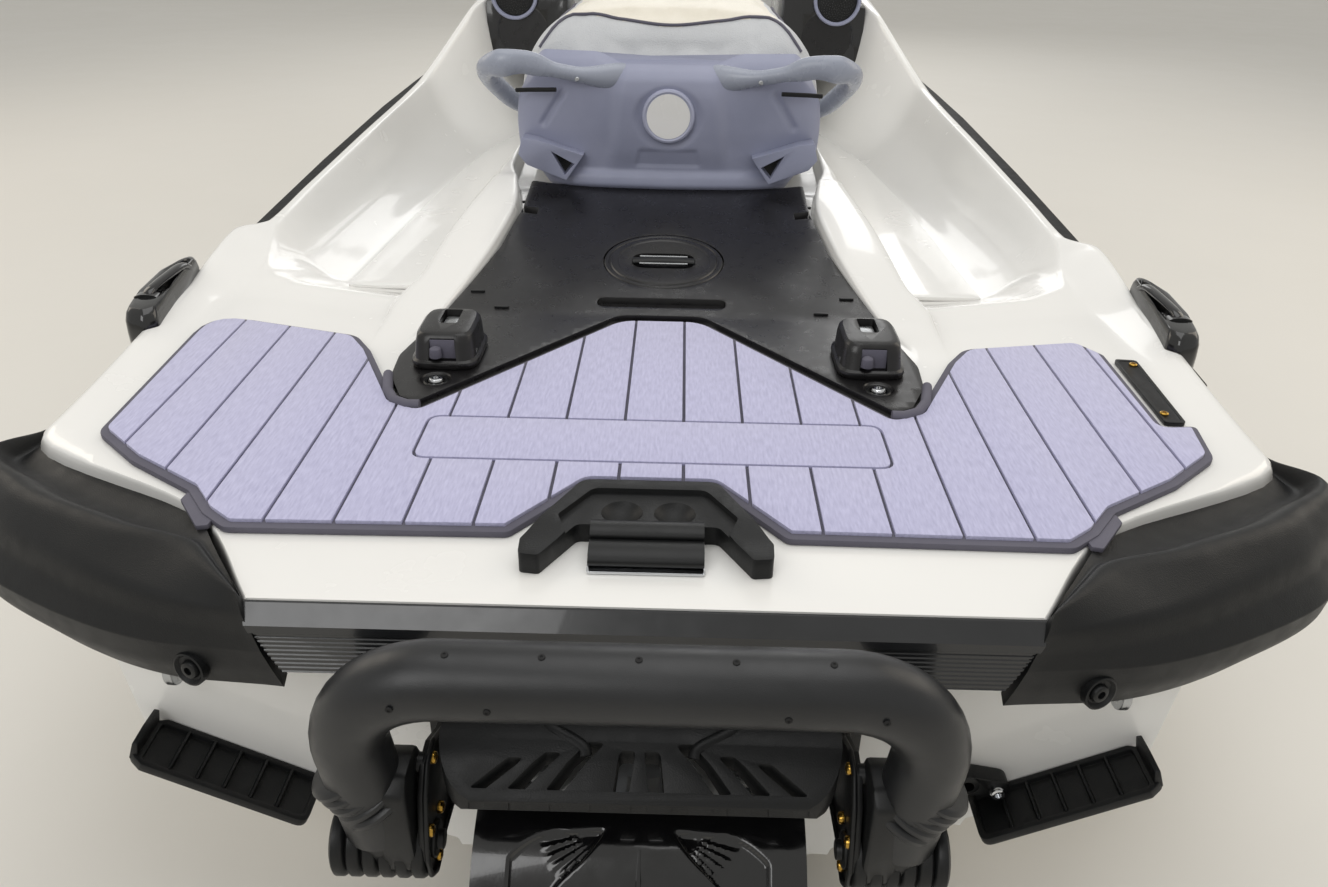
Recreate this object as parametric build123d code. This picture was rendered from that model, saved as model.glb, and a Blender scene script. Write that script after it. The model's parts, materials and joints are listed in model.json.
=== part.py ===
from build123d import *
import os
from math import sin, cos, tan, radians

os.makedirs("parts", exist_ok=True)

# Three-seat touring watercraft with a jet drive.
# Frame: +Y ahead to the bow, +X to starboard, +Z up. The origin is on the waterline, amidships.
# Places along the craft are given as p, the distance ahead of the swim platform's rear edge.

# Main sizes
STERN_Y = -1500.0          # rear edge of the swim platform
HALF_BEAM = 605.0          # widest half-breadth of the shell at the bond line
DECK_Z = 190.0             # flat of the swim platform, under its mat
KEEL_Z = -240.0            # lowest line of the keel
BOND_Z = 130.0             # bond line between hull and deck, at the stern
BOND_RISE = 0.0583         # rise of the bond line per millimetre ahead
TRANSOM_P = 80.0           # the hull's transom, under the platform's overhang
BOW_P = 3425.0             # foremost section of the shell

# Clearances
SEAT_GAP = 0.3             # between a piece and what it is seated on
LID_GAP = 5.0              # round a lid or any other panel that opens
PIN_GAP = 0.3              # radial, round a hinge pin

# Platform, mat and centre plate
MAT_T = 10.0               # thickness of the cut foam mat
SEAM_W = 4.0               # width of the seams between planks
SEAM_DEPTH = 3.0
PLANK_W = 58.0             # pitch of the planks across the craft
PLATE_T = 11.0
PLATE_REAR_P = 548.0       # rear edge of the plate, between its two legs
PLATE_LEG_P = 308.0        # tips of the two legs
PLATE_TILT = 7.0           # degrees; the deck and the plate rise from the plate's rear edge to the seat
SLOT_RIM = 20.0            # plate left behind the slot
SLOT_L = 164.0             # slot across the plate
SLOT_W = 29.0
SLOT_R = 11.0
CAP_RIM = 24.0             # plate left between the slot and the cap
CAP_R = 80.0               # round twist cap
PLATE_BEND_P = PLATE_REAR_P + 2
SLOT_P = PLATE_REAR_P + SLOT_RIM + SLOT_W / 2
CAP_P = SLOT_P + SLOT_W / 2 + CAP_RIM + CAP_R

# Footwells
FLOOR_Z = 142.0            # lowest floor of the footwells
TUB_T = 30.0               # floor thickness below them
WELL_MAT_T = 8.0
LIP_W = 14.0               # thin edge left between footwell and gunwale

# Rub rail and bumpers
RAIL_W = 20.0
RAIL_H = 40.0
BUMPER_TOP = 205.0
BUMPER_BOTTOM = 95.0
TRIM_HALF = 304.0          # transom trim between the bumpers
TRIM_T = 14.0
TRIM_BOTTOM = 127.0
TRIM_RIB = 5.0

# Jet drive, on the centreline
JET_Z = -100.0             # axis of the jet
DUCT_R = 80.0
HOUSING_R = 88.0
BLADE_R = 75.0
SHAFT_R = 14.0
HUB_R = 30.0
TUNNEL_HALF = 150.0
TUNNEL_TOP = 15.0
TUNNEL_P = 262.0           # front wall of the pump tunnel
PUMP_P = 40.0              # rear flange of the pump
GATE_R = 110.0             # outer radius of the reverse gate about its pivot
GATE_T = 6.0
GATE_HALF = 133.0
GATE_FROM = -10.0          # degrees above astern, lower edge
GATE_TO = 78.0             # degrees above astern, upper edge
NOZZLE_R = 56.0
NOZZLE_EXIT_R = 42.0
NOZZLE_T = 6.0
NOZZLE_L = 82.0

# Boarding ladder, folded up behind the platform
LADDER_PIVOT_P = -50.0
LADDER_PIVOT_Z = -10.0
LADDER_BAR_P = -80.0
LADDER_BAR_Z = 187.0
LADDER_HALF = 198.0        # to the middle of its tube
TUBE_R = 27.5
LADDER_BEND_R = 66.0
DRUM_R = 30.0
DRUM_W = 76.0
DRUM_X = 205.0
PIN_R = 8.0
BRACKET_T = 10.0

# Seats
BED_HALF = 250.0
TAIL_P = 957.0             # foot of the seat tail, on the plate
SEAT_SPLIT_P = 1430.0      # between the passenger's and the driver's seat
SEAT_FRONT_P = 2150.0
TAIL_HALF = 233.0
HANDLE_R = 17.0

# Steering
COLUMN_P = 2345.0
COLUMN_Z = 642.0
COLUMN_TILT = 25.0         # degrees from upright, leaning aft
COLUMN_L = 215.0
COLUMN_R = 24.0
BAR_R = 13.0
GRIP_R = 17.0
GRIP_L = 125.0
BAR_HALF = 400.0


def y_at(p):
    return STERN_Y + p


def bond(p):
    return BOND_Z + BOND_RISE * p


def loop(y, half):
    """Closed outline across the craft at y, from one half given as (x, z)."""
    other = [(-x, z) for x, z in reversed(half) if x > 0]
    return Wire.make_polygon([(x, y, z) for x, z in half + other])


def skin(wires, ruled=True):
    return Solid.make_loft(wires, ruled)


def prism_z(points, z0, z1):
    """Upright prism over an outline of (x, p) points."""
    base = Face(Wire.make_polygon([(x, y_at(p), z0) for x, p in points]))
    return Solid.extrude(base, Vector(0, 0, z1 - z0))


def prism_x(points, x0, x1):
    """Prism across the craft over an outline of (p, z) points."""
    base = Face(Wire.make_polygon([(x0, y_at(p), z) for p, z in points]))
    return Solid.extrude(base, Vector(x1 - x0, 0, 0))


def round_prism(points, radii, z0, z1):
    """Upright prism over an outline of (x, p) points with rounded corners."""
    line = FilletPolyline(*[(x, y_at(p), z0) for x, p in points], radius=radii, close=True)
    return extrude(make_face(line), amount=z1 - z0, dir=(0, 0, 1))


def box(x0, x1, p0, p1, z0, z1):
    return prism_z([(x0, p0), (x1, p0), (x1, p1), (x0, p1)], z0, z1)


def rod(start, end, radius):
    """Round bar between two points (x, p, z)."""
    a = Vector(start[0], y_at(start[1]), start[2])
    b = Vector(end[0], y_at(end[1]), end[2])
    return Solid.make_cylinder(radius, (b - a).length, Plane(a, z_dir=b - a))


def mirrored(shape):
    return mirror(shape, about=Plane.YZ)


def both(shape):
    return Compound([shape, mirrored(shape)])


def one(shape):
    """The single largest solid of a result."""
    solids = shape.solids()
    return max(solids, key=lambda s: s.volume)


def save(shape, name):
    export_step(shape, f"parts/{name}.step")


# Shell sections
# Columns of DECK: p, half-breadth at the bond line, gunwale half-breadth and height,
# shoulder half-breadth and height, crown height on the centreline.
def plate_z(p):
    """Height of the deck under the centre plate."""
    return DECK_Z + tan(radians(PLATE_TILT)) * max(p - PLATE_BEND_P, 0)


TAIL_Z = plate_z(TAIL_P)
DECK_AFT = [
    (0, 305, 305, DECK_Z, 250, DECK_Z, DECK_Z),
    (113, 385, 385, DECK_Z, 330, DECK_Z, DECK_Z),
    (256, 600, 600, DECK_Z, 548, DECK_Z, DECK_Z),
    (PLATE_BEND_P, 604, 600, DECK_Z + 22, 552, DECK_Z, DECK_Z),
    (640, HALF_BEAM, 600, 228, 545, plate_z(640), plate_z(640)),
    (711, HALF_BEAM, 598, 237, 540, plate_z(711), plate_z(711)),
    (785, 604, 566, 232, 520, plate_z(785), plate_z(785)),
    (TAIL_P, 602, 558, 243, 400, TAIL_Z, TAIL_Z),
    (1200, 598, 545, 262, 400, 262, 262),
    (1560, 585, 520, 293, 400, 293, 293),
    (1765, 570, 440, 415, 300, 428, 430),
]
DECK_FORE = [
    DECK_AFT[-1],
    (2000, 548, 430, 442, 300, 522, 540),
    (2250, 515, 410, 458, 260, 598, 620),
    (2500, 468, 375, 464, 230, 602, 632),
    (2800, 388, 310, 458, 190, 562, 592),
    (3050, 300, 235, 442, 140, 512, 532),
    (3250, 205, 150, 415, 90, 455, 468),
    (3370, 115, 78, 385, 45, 405, 410),
    (BOW_P, 34, 20, 350, 10, 356, 358),
]
# Columns of HULL: p, keel height, chine inner half-breadth and height,
# chine outer half-breadth and height, half-breadth at the bond line.
HULL_AFT = [
    (TRANSOM_P, KEEL_Z, 415, -81, 458, -76, 480),
    (300, KEEL_Z, 430, -78, 474, -72, 602),
    (1200, KEEL_Z, 430, -76, 478, -68, 598),
]
HULL_FORE = [
    HULL_AFT[-1],
    (2000, KEEL_Z + 6, 400, -58, 446, -44, 548),
    (2500, -215, 322, -18, 366, 0, 468),
    (2900, -150, 226, 48, 262, 68, 358),
    (3200, -40, 122, 140, 146, 158, 232),
    (3350, 90, 54, 215, 68, 228, 134),
    (BOW_P, 262, 14, 290, 18, 298, 34),
]


def deck_loop(row):
    p, rail, gunwale, height, shoulder, shoulder_z, crown = row
    half = [(0, bond(p)), (rail, bond(p)), (gunwale, height), (shoulder, shoulder_z), (0, crown)]
    return loop(y_at(p), half)


def smooth_rows(rows, steps):
    """Rows between the given ones, on a smooth curve through each column."""
    fine = []
    last = len(rows) - 1
    for i in range(last):
        before, start = rows[max(i - 1, 0)], rows[i]
        end, after = rows[i + 1], rows[min(i + 2, last)]
        width = end[0] - start[0]
        for k in range(steps):
            t = k / steps
            row = [start[0] + t * width]
            for a, b, c, d in list(zip(before, start, end, after))[1:]:
                m0 = (c - a) / (end[0] - before[0]) * width
                m1 = (d - b) / (after[0] - start[0]) * width
                row.append(b * (2 * t**3 - 3 * t**2 + 1) + m0 * (t**3 - 2 * t**2 + t)
                           + c * (3 * t**2 - 2 * t**3) + m1 * (t**3 - t**2))
            fine.append(tuple(row))
    return fine + [rows[-1]]


def hull_loop(row):
    p, keel, inner, inner_z, outer, outer_z, rail = row
    half = [(0, keel), (inner, inner_z), (outer, outer_z), (rail, bond(p)), (0, bond(p))]
    return loop(y_at(p), half)


DECK_ROWS = DECK_AFT[:-1] + smooth_rows(DECK_FORE, 3)
HULL_ROWS = HULL_AFT[:-1] + smooth_rows(HULL_FORE, 3)
deck_body = skin([deck_loop(row) for row in DECK_ROWS])
hull_body = skin([hull_loop(row) for row in HULL_ROWS])

# Footwell space. Columns: p, inner edge, floor height, floor's outer edge,
# middle of the wall (half-breadth and height), top of the wall.
WELL = [
    (575, 332, 206, 470, 488, 208, 505),
    (650, 312, 176, 476, 515, 192, 535),
    (770, 298, FLOOR_Z, 462, 518, 178, 566 - LIP_W),
    (1200, 240, FLOOR_Z, 440, 502, 188, 545 - LIP_W),
    (1560, 234, FLOOR_Z + 4, 400, 472, 210, 520 - LIP_W),
    (1765, 232, FLOOR_Z + 12, 340, 400, 290, 440 - LIP_W),
    (1960, 232, FLOOR_Z + 60, 300, 350, 300, 390 - LIP_W),
]
OPEN_Z = 900.0


def well_wire(row):
    p, inner, floor, floor_out, mid, mid_z, edge = row
    points = [(inner, OPEN_Z), (inner, floor), (floor_out, floor),
              (mid, mid_z), (edge, max(mid_z + 20, bond(p))), (edge, OPEN_Z)]
    return Wire.make_polygon([(x, y_at(p), z) for x, z in points])


well_right = skin([well_wire(row) for row in WELL])

# The tubs of the footwells hang below the bond line, into the hull.
TUB = [(215, 620), (520, 620), (520, 1300), (420, 1985), (215, 1985)]
tub_right = prism_z(TUB, FLOOR_Z - TUB_T, 300)
tub_bottom = hull_body & tub_right

# Jet tunnel and intake duct
INTAKE_HALF = 78.0
tunnel = box(-TUNNEL_HALF, TUNNEL_HALF, 0, TUNNEL_P, -300, TUNNEL_TOP)
INTAKE_P = 335.0
duct = rod((0, 200, JET_Z), (0, INTAKE_P + 10, JET_Z), DUCT_R)
intake = prism_x([(INTAKE_P, JET_Z + 60), (INTAKE_P, -300), (690, -300), (690, -262), (470, JET_Z + 20),
                  (400, JET_Z + 60)], -INTAKE_HALF, INTAKE_HALF)

# Engine bay, just larger than the engine block
ENGINE = (-208, 208, 1010, 1600, -120, 160)     # x0, x1, p0, p1, z0, z1
ENGINE_GAP = 4.0
engine_bay = box(ENGINE[0] - ENGINE_GAP, ENGINE[1] + ENGINE_GAP, ENGINE[2] - ENGINE_GAP,
                 ENGINE[3] + ENGINE_GAP, ENGINE[4], 400)
shaft_hole = rod((0, 340, JET_Z), (0, ENGINE[2], JET_Z), SHAFT_R + PIN_GAP)


# Stern bumpers: a corner block by sections along its outline.
# Columns: inner (x, p), outer (x, p), share of the full height.
BUMPER = [
    ((TRIM_HALF + 1, -2), (TRIM_HALF + 1, -16), 0.72),
    ((347, 57), (402, 10), 0.9),
    ((386, 113), (500, 50), 1.0),
    ((493, 183), (588, 104), 1.0),
    ((602, 256), (627, 178), 1.0),
    ((605, 345), (627, 330), 0.92),
    ((606, 452), (626, 450), 0.45),
]
# Section of a bumper: share of its width, height between bottom and top
BUMPER_SHAPE = [(0, 0.05), (0.8, 0.0), (0.97, 0.18), (1.0, 0.42), (0.9, 0.72), (0.62, 0.97),
                (0.5, 1.0), (0.38, 0.93), (0, 0.98)]


def bumper_wire(inner, outer, share):
    middle = (BUMPER_TOP + BUMPER_BOTTOM) / 2 + 30 * (1 - share)
    height = (BUMPER_TOP - BUMPER_BOTTOM) * share
    points = []
    for along, up in BUMPER_SHAPE:
        x = inner[0] + along * (outer[0] - inner[0])
        p = inner[1] + along * (outer[1] - inner[1])
        points.append((x, y_at(p), middle + (up - 0.5) * height))
    return Wire.make_polygon(points)


bumper_right = skin([bumper_wire(*row) for row in BUMPER])
inner_line = [row[0] for row in BUMPER]
pocket = prism_z([(x - 0.3, p + 0.3) for x, p in inner_line[1:-1]] + [(700, 345), (700, -60), (345, -60)],
                 BUMPER_BOTTOM - 0.3, 150)

hull = hull_body - tub_right - mirrored(tub_right)
hull = hull - tunnel - duct - intake
hull = hull - engine_bay - shaft_hole
hull = hull - pocket - mirrored(pocket)

# Deck: seat bed, wells, storage bin under the front lid, glovebox
BED_DROP = 4.0             # the bed lies this much under the deck's crown
BED_TOP = [(TAIL_P, TAIL_Z - BED_DROP), (1200, 262 - BED_DROP), (1560, 293 - BED_DROP),
           (SEAT_FRONT_P, 300)]
bed = prism_x(BED_TOP + [(SEAT_FRONT_P, OPEN_Z), (TAIL_P, OPEN_Z)], -BED_HALF, BED_HALF)
BIN_HALF = 165.0           # storage bin under the front lid
BIN = (2600, 2960)
LID = [(0, 2545), (212, 2545), (200, 2650), (178, 2800), (118, 3055), (0, 3055)]
LID_T = 20.0
GLOVE = [(0, 2168), (98, 2168), (104, 2285), (0, 2285)]
GLOVE_HALF = 80.0          # glovebox in the console
GLOVE_P = (2186, 2270)
GLOVE_FLOOR = 470.0
GLOVE_T = 14.0
GLOVE_GAP = 9.0            # round its lid, whose sloping skin leans back over the rear edge when open
COWL_P = 2478.0            # seam between console and front cowl
COWL_LIFT = 45.0           # height of their lower edge over the bond line


def both_halves(half):
    return half + [(-x, p) for x, p in reversed(half) if x > 0]


def grown(half, gap):
    """The half outline, moved out by gap at its two ends and its side."""
    rear, front = half[0][1], half[-1][1]
    ends = {rear: -gap, front: gap}
    return [(x + (gap if x > 0 else 0), p + ends.get(p, 0)) for x, p in half]


def column_over(half, gap):
    return prism_z(both_halves(grown(half, gap)), 200, OPEN_Z)


def lid_shell(half, thickness):
    """The skin of the upper moulding inside the outline."""
    return one((deck_body & column_over(half, 0)) - Pos(0, 0, -thickness) * deck_body)


def lid_recess(half, thickness, gap):
    """The room that the lid takes, with the gap round it and below it."""
    return column_over(half, gap) - Pos(0, 0, -thickness) * deck_body


def crown_z(p):
    """Height of the upper moulding on the centreline."""
    for before, after in zip(DECK_ROWS, DECK_ROWS[1:]):
        if p <= after[0]:
            return before[6] + (after[6] - before[6]) * (p - before[0]) / (after[0] - before[0])


def above_bond(p0, p1, lift):
    """All that lies between p0 and p1 and higher than lift over the bond line."""
    return prism_x([(p0, bond(p0) + lift), (p1, bond(p1) + lift), (p1, OPEN_Z), (p0, OPEN_Z)], -700, 700)


# Hinge rods on the lids' edges, flush with the skin
HINGE_R = 5.0
HINGE_RELIEF = 2.5         # room under a lid's hinged edge, which dips as it turns
FRONT_HINGE = (LID[-1][1], crown_z(LID[-1][1]) - HINGE_R)
GLOVE_HINGE = (GLOVE[0][1], crown_z(GLOVE[0][1]) - HINGE_R)


def hinge_rod(place, half, gap):
    return rod((-half - gap, *place), (half + gap, *place), HINGE_R + gap)


front_lid = lid_shell(LID, LID_T) + hinge_rod(FRONT_HINGE, 50, 0)
glove_lid = lid_shell(GLOVE, GLOVE_T) + hinge_rod(GLOVE_HINGE, 34, 0)

deck = deck_body + tub_bottom + mirrored(tub_bottom)
deck = deck - well_right - mirrored(well_right)
deck = deck - bed
deck = deck - above_bond(SEAT_FRONT_P, BOW_P + 10, COWL_LIFT)
console = deck_body & above_bond(SEAT_FRONT_P, COWL_P - SEAT_GAP, COWL_LIFT + SEAT_GAP)
cowl = deck_body & above_bond(COWL_P, BOW_P + 10, COWL_LIFT + SEAT_GAP)
cowl = cowl - box(-BIN_HALF, BIN_HALF, BIN[0], BIN[1], 200, OPEN_Z)
cowl = cowl - lid_recess(LID, LID_T + SEAT_GAP, LID_GAP)
swing = lid_recess(LID, LID_T + HINGE_RELIEF, LID_GAP)
cowl = cowl - (swing & box(-200, 200, LID[-1][1] - 70, LID[-1][1] + 20, 200, OPEN_Z))
cowl = cowl - hinge_rod(FRONT_HINGE, 50, PIN_GAP)
console = console - box(-GLOVE_HALF, GLOVE_HALF, GLOVE_P[0], GLOVE_P[1], GLOVE_FLOOR, OPEN_Z)
console = console - lid_recess(GLOVE, GLOVE_T + SEAT_GAP, GLOVE_GAP)
swing = lid_recess(GLOVE, GLOVE_T + HINGE_RELIEF, GLOVE_GAP)
console = console - (swing & box(-200, 200, GLOVE[0][1] - 20, GLOVE[0][1] + 12, 200, OPEN_Z))
console = console - hinge_rod(GLOVE_HINGE, 34, PIN_GAP)

# Steering column bore and seat
tilt = Vector(0, -sin(radians(COLUMN_TILT)), cos(radians(COLUMN_TILT)))
column_base = Vector(0, y_at(COLUMN_P), COLUMN_Z)


def on_column(distance):
    return Plane(column_base + tilt * distance, x_dir=(1, 0, 0), z_dir=tilt)


NECK_R = 62.0
neck = Solid.make_cylinder(NECK_R, 90, on_column(-90))
console = console + neck
column_bore = Solid.make_cylinder(COLUMN_R + PIN_GAP, 120, on_column(-80))
console = console - column_bore

save(one(hull), "hull_lower")
save(one(deck), "deck")
save(one(console), "console")
save(one(cowl), "front_cowl")
save(one(front_lid), "front_lid")
save(one(glove_lid), "glove_lid")

# Engine: one plain block, its mounts and shaft coupling left out
save(box(ENGINE[0], ENGINE[1], ENGINE[2], ENGINE[3], ENGINE[4] + SEAT_GAP, ENGINE[5]), "engine_block")

# Rub rail round the bond line, from bumper to bumper by way of the bow
RAIL_CHAMFER = 6.0
rail_rows = [(BUMPER[-1][0][1] + 2, 606)] + [(row[0], row[1]) for row in DECK_ROWS if row[0] > 460]
rail_rows.append((BOW_P + RAIL_W, 14))


def rail_wire(p, rail):
    z = bond(p)
    edge = rail + (RAIL_W if p <= BOW_P else 0)
    half = RAIL_H / 2
    return loop(y_at(p), [(0, z - half), (edge - RAIL_CHAMFER, z - half), (edge, z - half + RAIL_CHAMFER),
                          (edge, z + half - RAIL_CHAMFER), (edge - RAIL_CHAMFER, z + half), (0, z + half)])


rail = skin([rail_wire(*row) for row in rail_rows]) - deck_body - hull_body
save(one(rail), "rub_rail")

save(bumper_right, "bumper_right")
save(mirrored(bumper_right), "bumper_left")

# Transom trim: a glossy band over a ribbed one, across the platform's rear edge
TRIM_BAND_Z = DECK_Z - 24
TRIM = [(-SEAT_GAP, DECK_Z - 2), (-TRIM_T + 4, DECK_Z - 4), (-TRIM_T, DECK_Z - 10), (-TRIM_T, TRIM_BAND_Z),
        (-TRIM_T + 4, TRIM_BAND_Z - 2)]
rib_z = TRIM_BAND_Z - 2
while rib_z > TRIM_BOTTOM + TRIM_RIB:
    TRIM += [(-TRIM_T + 4, rib_z - TRIM_RIB * 0.6), (-TRIM_T + 6, rib_z - TRIM_RIB)]
    rib_z -= TRIM_RIB
TRIM += [(-SEAT_GAP, rib_z - 2)]
trim_ends = prism_z([(-TRIM_HALF, 5), (-TRIM_HALF, -40), (TRIM_HALF, -40), (TRIM_HALF, 5)], 100, 200)
save(one(prism_x(TRIM, -TRIM_HALF, TRIM_HALF) & trim_ends), "transom_trim")

# Platform mat: outline from the tow bracket's notch round to the centre plate, half by half.
# Columns: half-breadth, p, corner radius. The starboard side steps in round the badge plate.
MAT_REAR = [(55, 165, 10), (115, 86, 10), (350, 83, 14), (376, 104, 20), (402, 138, 12), (476, 187, 20),
            (532, 238, 24)]
MAT_PORT = [(545, 536, 42)]
MAT_STARBOARD = [(543, 303, 6), (508, 300, 6), (511, 474, 10), (490, 509, 20)]
MAT_FRONT = [(352, 481, 34), (325, 440, 20), (267, PLATE_LEG_P + 9, 8), (240, PLATE_LEG_P - 6, 6),
             (50, PLATE_REAR_P - 4, 45)]
starboard = MAT_REAR + MAT_STARBOARD + MAT_FRONT
port = [(-x, p, r) for x, p, r in MAT_REAR + MAT_PORT + MAT_FRONT]
mat_line = starboard + port[::-1]
mat_top = DECK_Z + MAT_T
mat = round_prism([(x, p) for x, p, r in mat_line], [r for x, p, r in mat_line], DECK_Z + SEAT_GAP, mat_top)
PANEL = (222.0, 199.0, 281.0)      # half-breadth, from p, to p: the bare panel across the middle
seams = []
k = -9.5
while k < 10:
    x = k * PLANK_W
    if abs(x) < PANEL[0] + 2:
        seams.append(box(x - SEAM_W / 2, x + SEAM_W / 2, 60, PANEL[1], mat_top - SEAM_DEPTH, mat_top + 1))
        seams.append(box(x - SEAM_W / 2, x + SEAM_W / 2, PANEL[2], 600, mat_top - SEAM_DEPTH, mat_top + 1))
    else:
        seams.append(box(x - SEAM_W / 2, x + SEAM_W / 2, 60, 600, mat_top - SEAM_DEPTH, mat_top + 1))
    k += 1
mat = mat - seams
save(one(mat), "platform_mat")


def well_mat_wire(row):
    p, inner, floor, floor_out = row[:4]
    low, high = floor + SEAT_GAP, floor + WELL_MAT_T
    points = [(inner + 8, low), (floor_out - 6, low), (floor_out - 6, high), (inner + 8, high)]
    return Wire.make_polygon([(x, y_at(p), z) for x, z in points])


save(both(skin([well_mat_wire(row) for row in WELL[2:6]])), "footwell_mats")

# Centre plate, on the deck ahead of the mat
PLATE = [(0, PLATE_REAR_P), (54, PLATE_REAR_P), (244, PLATE_LEG_P), (262, PLATE_LEG_P + 12),
         (284, PLATE_LEG_P + 60), (288, PLATE_LEG_P + 112), (260, 562),
         (222, 724), (209, 850), (209, TAIL_P - 2), (0, TAIL_P - 2)]
plate_side = [(PLATE_LEG_P - 10, DECK_Z + SEAT_GAP), (PLATE_BEND_P, DECK_Z + SEAT_GAP), (TAIL_P, TAIL_Z + SEAT_GAP),
              (TAIL_P, TAIL_Z + PLATE_T), (PLATE_BEND_P, DECK_Z + PLATE_T), (PLATE_LEG_P - 10, DECK_Z + PLATE_T)]
plate = prism_z(both_halves(PLATE), 150, 400) & prism_x(plate_side, -300, 300)


def on_plate(x, p, lift=0.0):
    """Working plane on the plate's seat at (x, p)."""
    angle = PLATE_TILT if p > PLATE_BEND_P else 0
    z = plate_z(p)
    normal = Vector(0, -sin(radians(angle)), cos(radians(angle)))
    return Plane((x, y_at(p), z), x_dir=(1, 0, 0), z_dir=normal).offset(lift)


cap_hole = Solid.make_cylinder(CAP_R + SEAT_GAP, 40, on_plate(0, CAP_P, -5))
slot = on_plate(0, SLOT_P, 4) * extrude(RectangleRounded(SLOT_L, SLOT_W, SLOT_R), amount=30)
plate = plate - cap_hole - slot
FRONT_SOCKET = (197.0, 845.0, 11.0)    # x, p, half-width of the square holes near the seat
for side in (-1, 1):
    plate = plate - on_plate(side * FRONT_SOCKET[0], FRONT_SOCKET[1], 3) * extrude(
        Rectangle(2 * FRONT_SOCKET[2], 2 * FRONT_SOCKET[2]), amount=30)
save(one(plate), "centre_plate")

# Twist cap: a dished disc with a grip bar
cap = Solid.make_cylinder(CAP_R, PLATE_T, on_plate(0, CAP_P, SEAT_GAP))
cap = cap - Solid.make_cylinder(CAP_R - 8, 10, on_plate(0, CAP_P, PLATE_T - 3))
cap = cap + Solid.make_cylinder(CAP_R - 14, 4, on_plate(0, CAP_P, PLATE_T - 4))
grip_dish = on_plate(0, CAP_P, PLATE_T - 7) * extrude(SlotOverall(84, 44), amount=20)
grip_bar = on_plate(0, CAP_P, PLATE_T - 8) * Pos(0, 0, 5) * Box(74, 16, 10)
cap = cap - grip_dish + grip_bar
save(one(cap), "deck_cap")

# Cargo posts: squat blocks with a latch slot, one on each leg of the plate
POST = (232.0, PLATE_LEG_P + 84)        # x, p of their middle
POST_SIZE = (78.0, 92.0, 62.0)
post_foot = Plane((POST[0], y_at(POST[1]), DECK_Z + PLATE_T + SEAT_GAP))
post = loft([post_foot * Rectangle(POST_SIZE[0], POST_SIZE[1]),
             post_foot.offset(POST_SIZE[2] * 0.7) * Rectangle(POST_SIZE[0] * 0.92, POST_SIZE[1] * 0.9),
             post_foot.offset(POST_SIZE[2]) * Rectangle(POST_SIZE[0] * 0.72, POST_SIZE[1] * 0.66)],
            ruled=True)
post = post - post_foot.offset(POST_SIZE[2] - 22) * Pos(0, 8, 20) * Box(26, 44, 40)
post = post - post_foot * Pos(0, -POST_SIZE[1] / 2, 24) * Box(40, 16, 30)
save(both(one(post)), "cargo_posts")

# Tow bracket: an arched plate with two finger recesses and a rolled lip
TOW = [(88, 40), (102, 62), (50, 150), (-50, 150), (-102, 62), (-88, 40), (-52, 78), (-45, 52),
       (45, 52), (52, 78)]
TOW_T = 24.0
tow = prism_z(TOW, DECK_Z + SEAT_GAP, DECK_Z + TOW_T)
for side in (-1, 1):
    tow = tow - Pos(side * 20, y_at(84), DECK_Z + TOW_T + 6) * Sphere(20)
lip = rod((-45, 48, DECK_Z + 11), (45, 48, DECK_Z + 11), 9.5)
save(one(tow + lip), "tow_bracket")

# Mooring cleats on the gunwales, pushed down flat
CLEAT = [(602, 490), (626, 510), (632, 560), (626, 640), (606, 694), (578, 690), (570, 600), (580, 500)]
cleat = round_prism(CLEAT, 12, 180, 248) - deck_body - mirrored(bumper_right) - bumper_right - rail
cleat = one(cleat) - rod((600, 525, 250), (604, 660, 250), 12)
save(both(one(cleat)), "cleats")

# Badge plate, bare
BADGE = [(516, 312), (538, 312), (546, 466), (520, 468)]
save(prism_z(BADGE, DECK_Z + SEAT_GAP, DECK_Z + 5), "badge_plate")


# Seats: sections along the craft.
# Columns: p, bottom half-breadth, middle half-breadth and height, top half-breadth and height.
def bed_z(p):
    for (p0, z0), (p1, z1) in zip(BED_TOP, BED_TOP[1:]):
        if p <= p1:
            return z0 + (z1 - z0) * (p - p0) / (p1 - p0)
    return BED_TOP[-1][1]


PASSENGER_SEAT = [
    (986, 230, 232, 375, 212, 438),
    (1022, 230, 232, 385, 206, 478),
    (1200, 228, 228, 400, 195, 490),
    (1300, 227, 226, 400, 192, 487),
    (SEAT_SPLIT_P - LID_GAP, 226, 224, 400, 188, 482),
]
DRIVER_SEAT = [
    (SEAT_SPLIT_P, 226, 222, 400, 186, 466),
    (1560, 218, 212, 395, 176, 455),
    (1900, 190, 196, 390, 150, 462),
    (2070, 176, 184, 405, 130, 484),
    (SEAT_FRONT_P - 3, 168, 172, 430, 104, 508),
]


def seat_wire(row):
    p, low, mid, mid_z, top, top_z = row
    return loop(y_at(p), [(0, bed_z(p) + SEAT_GAP), (low, bed_z(p) + SEAT_GAP), (mid, mid_z), (top, top_z),
                          (0, top_z + 6)])


driver_seat = skin([seat_wire(row) for row in DRIVER_SEAT])
save(driver_seat, "driver_seat")
passenger_seat = skin([seat_wire(row) for row in PASSENGER_SEAT])
save(passenger_seat, "passenger_seat")

# Seat tail: the moulded shell behind the passenger's seat, by level sections.
# Columns: height over the plate, p of its rear face, half-breadth.
TAIL_FRONT = 986 - SEAT_GAP
TAIL = [(0, TAIL_P, 224), (PLATE_T + 1, TAIL_P, 224), (PLATE_T + 3, TAIL_P - 14, 228),
        (36, TAIL_P - 6, 233), (95, TAIL_P - 16, 234),
        (138, TAIL_P - 18, 229), (154, TAIL_P - 6, 226), (178, TAIL_P + 10, 214)]


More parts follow.
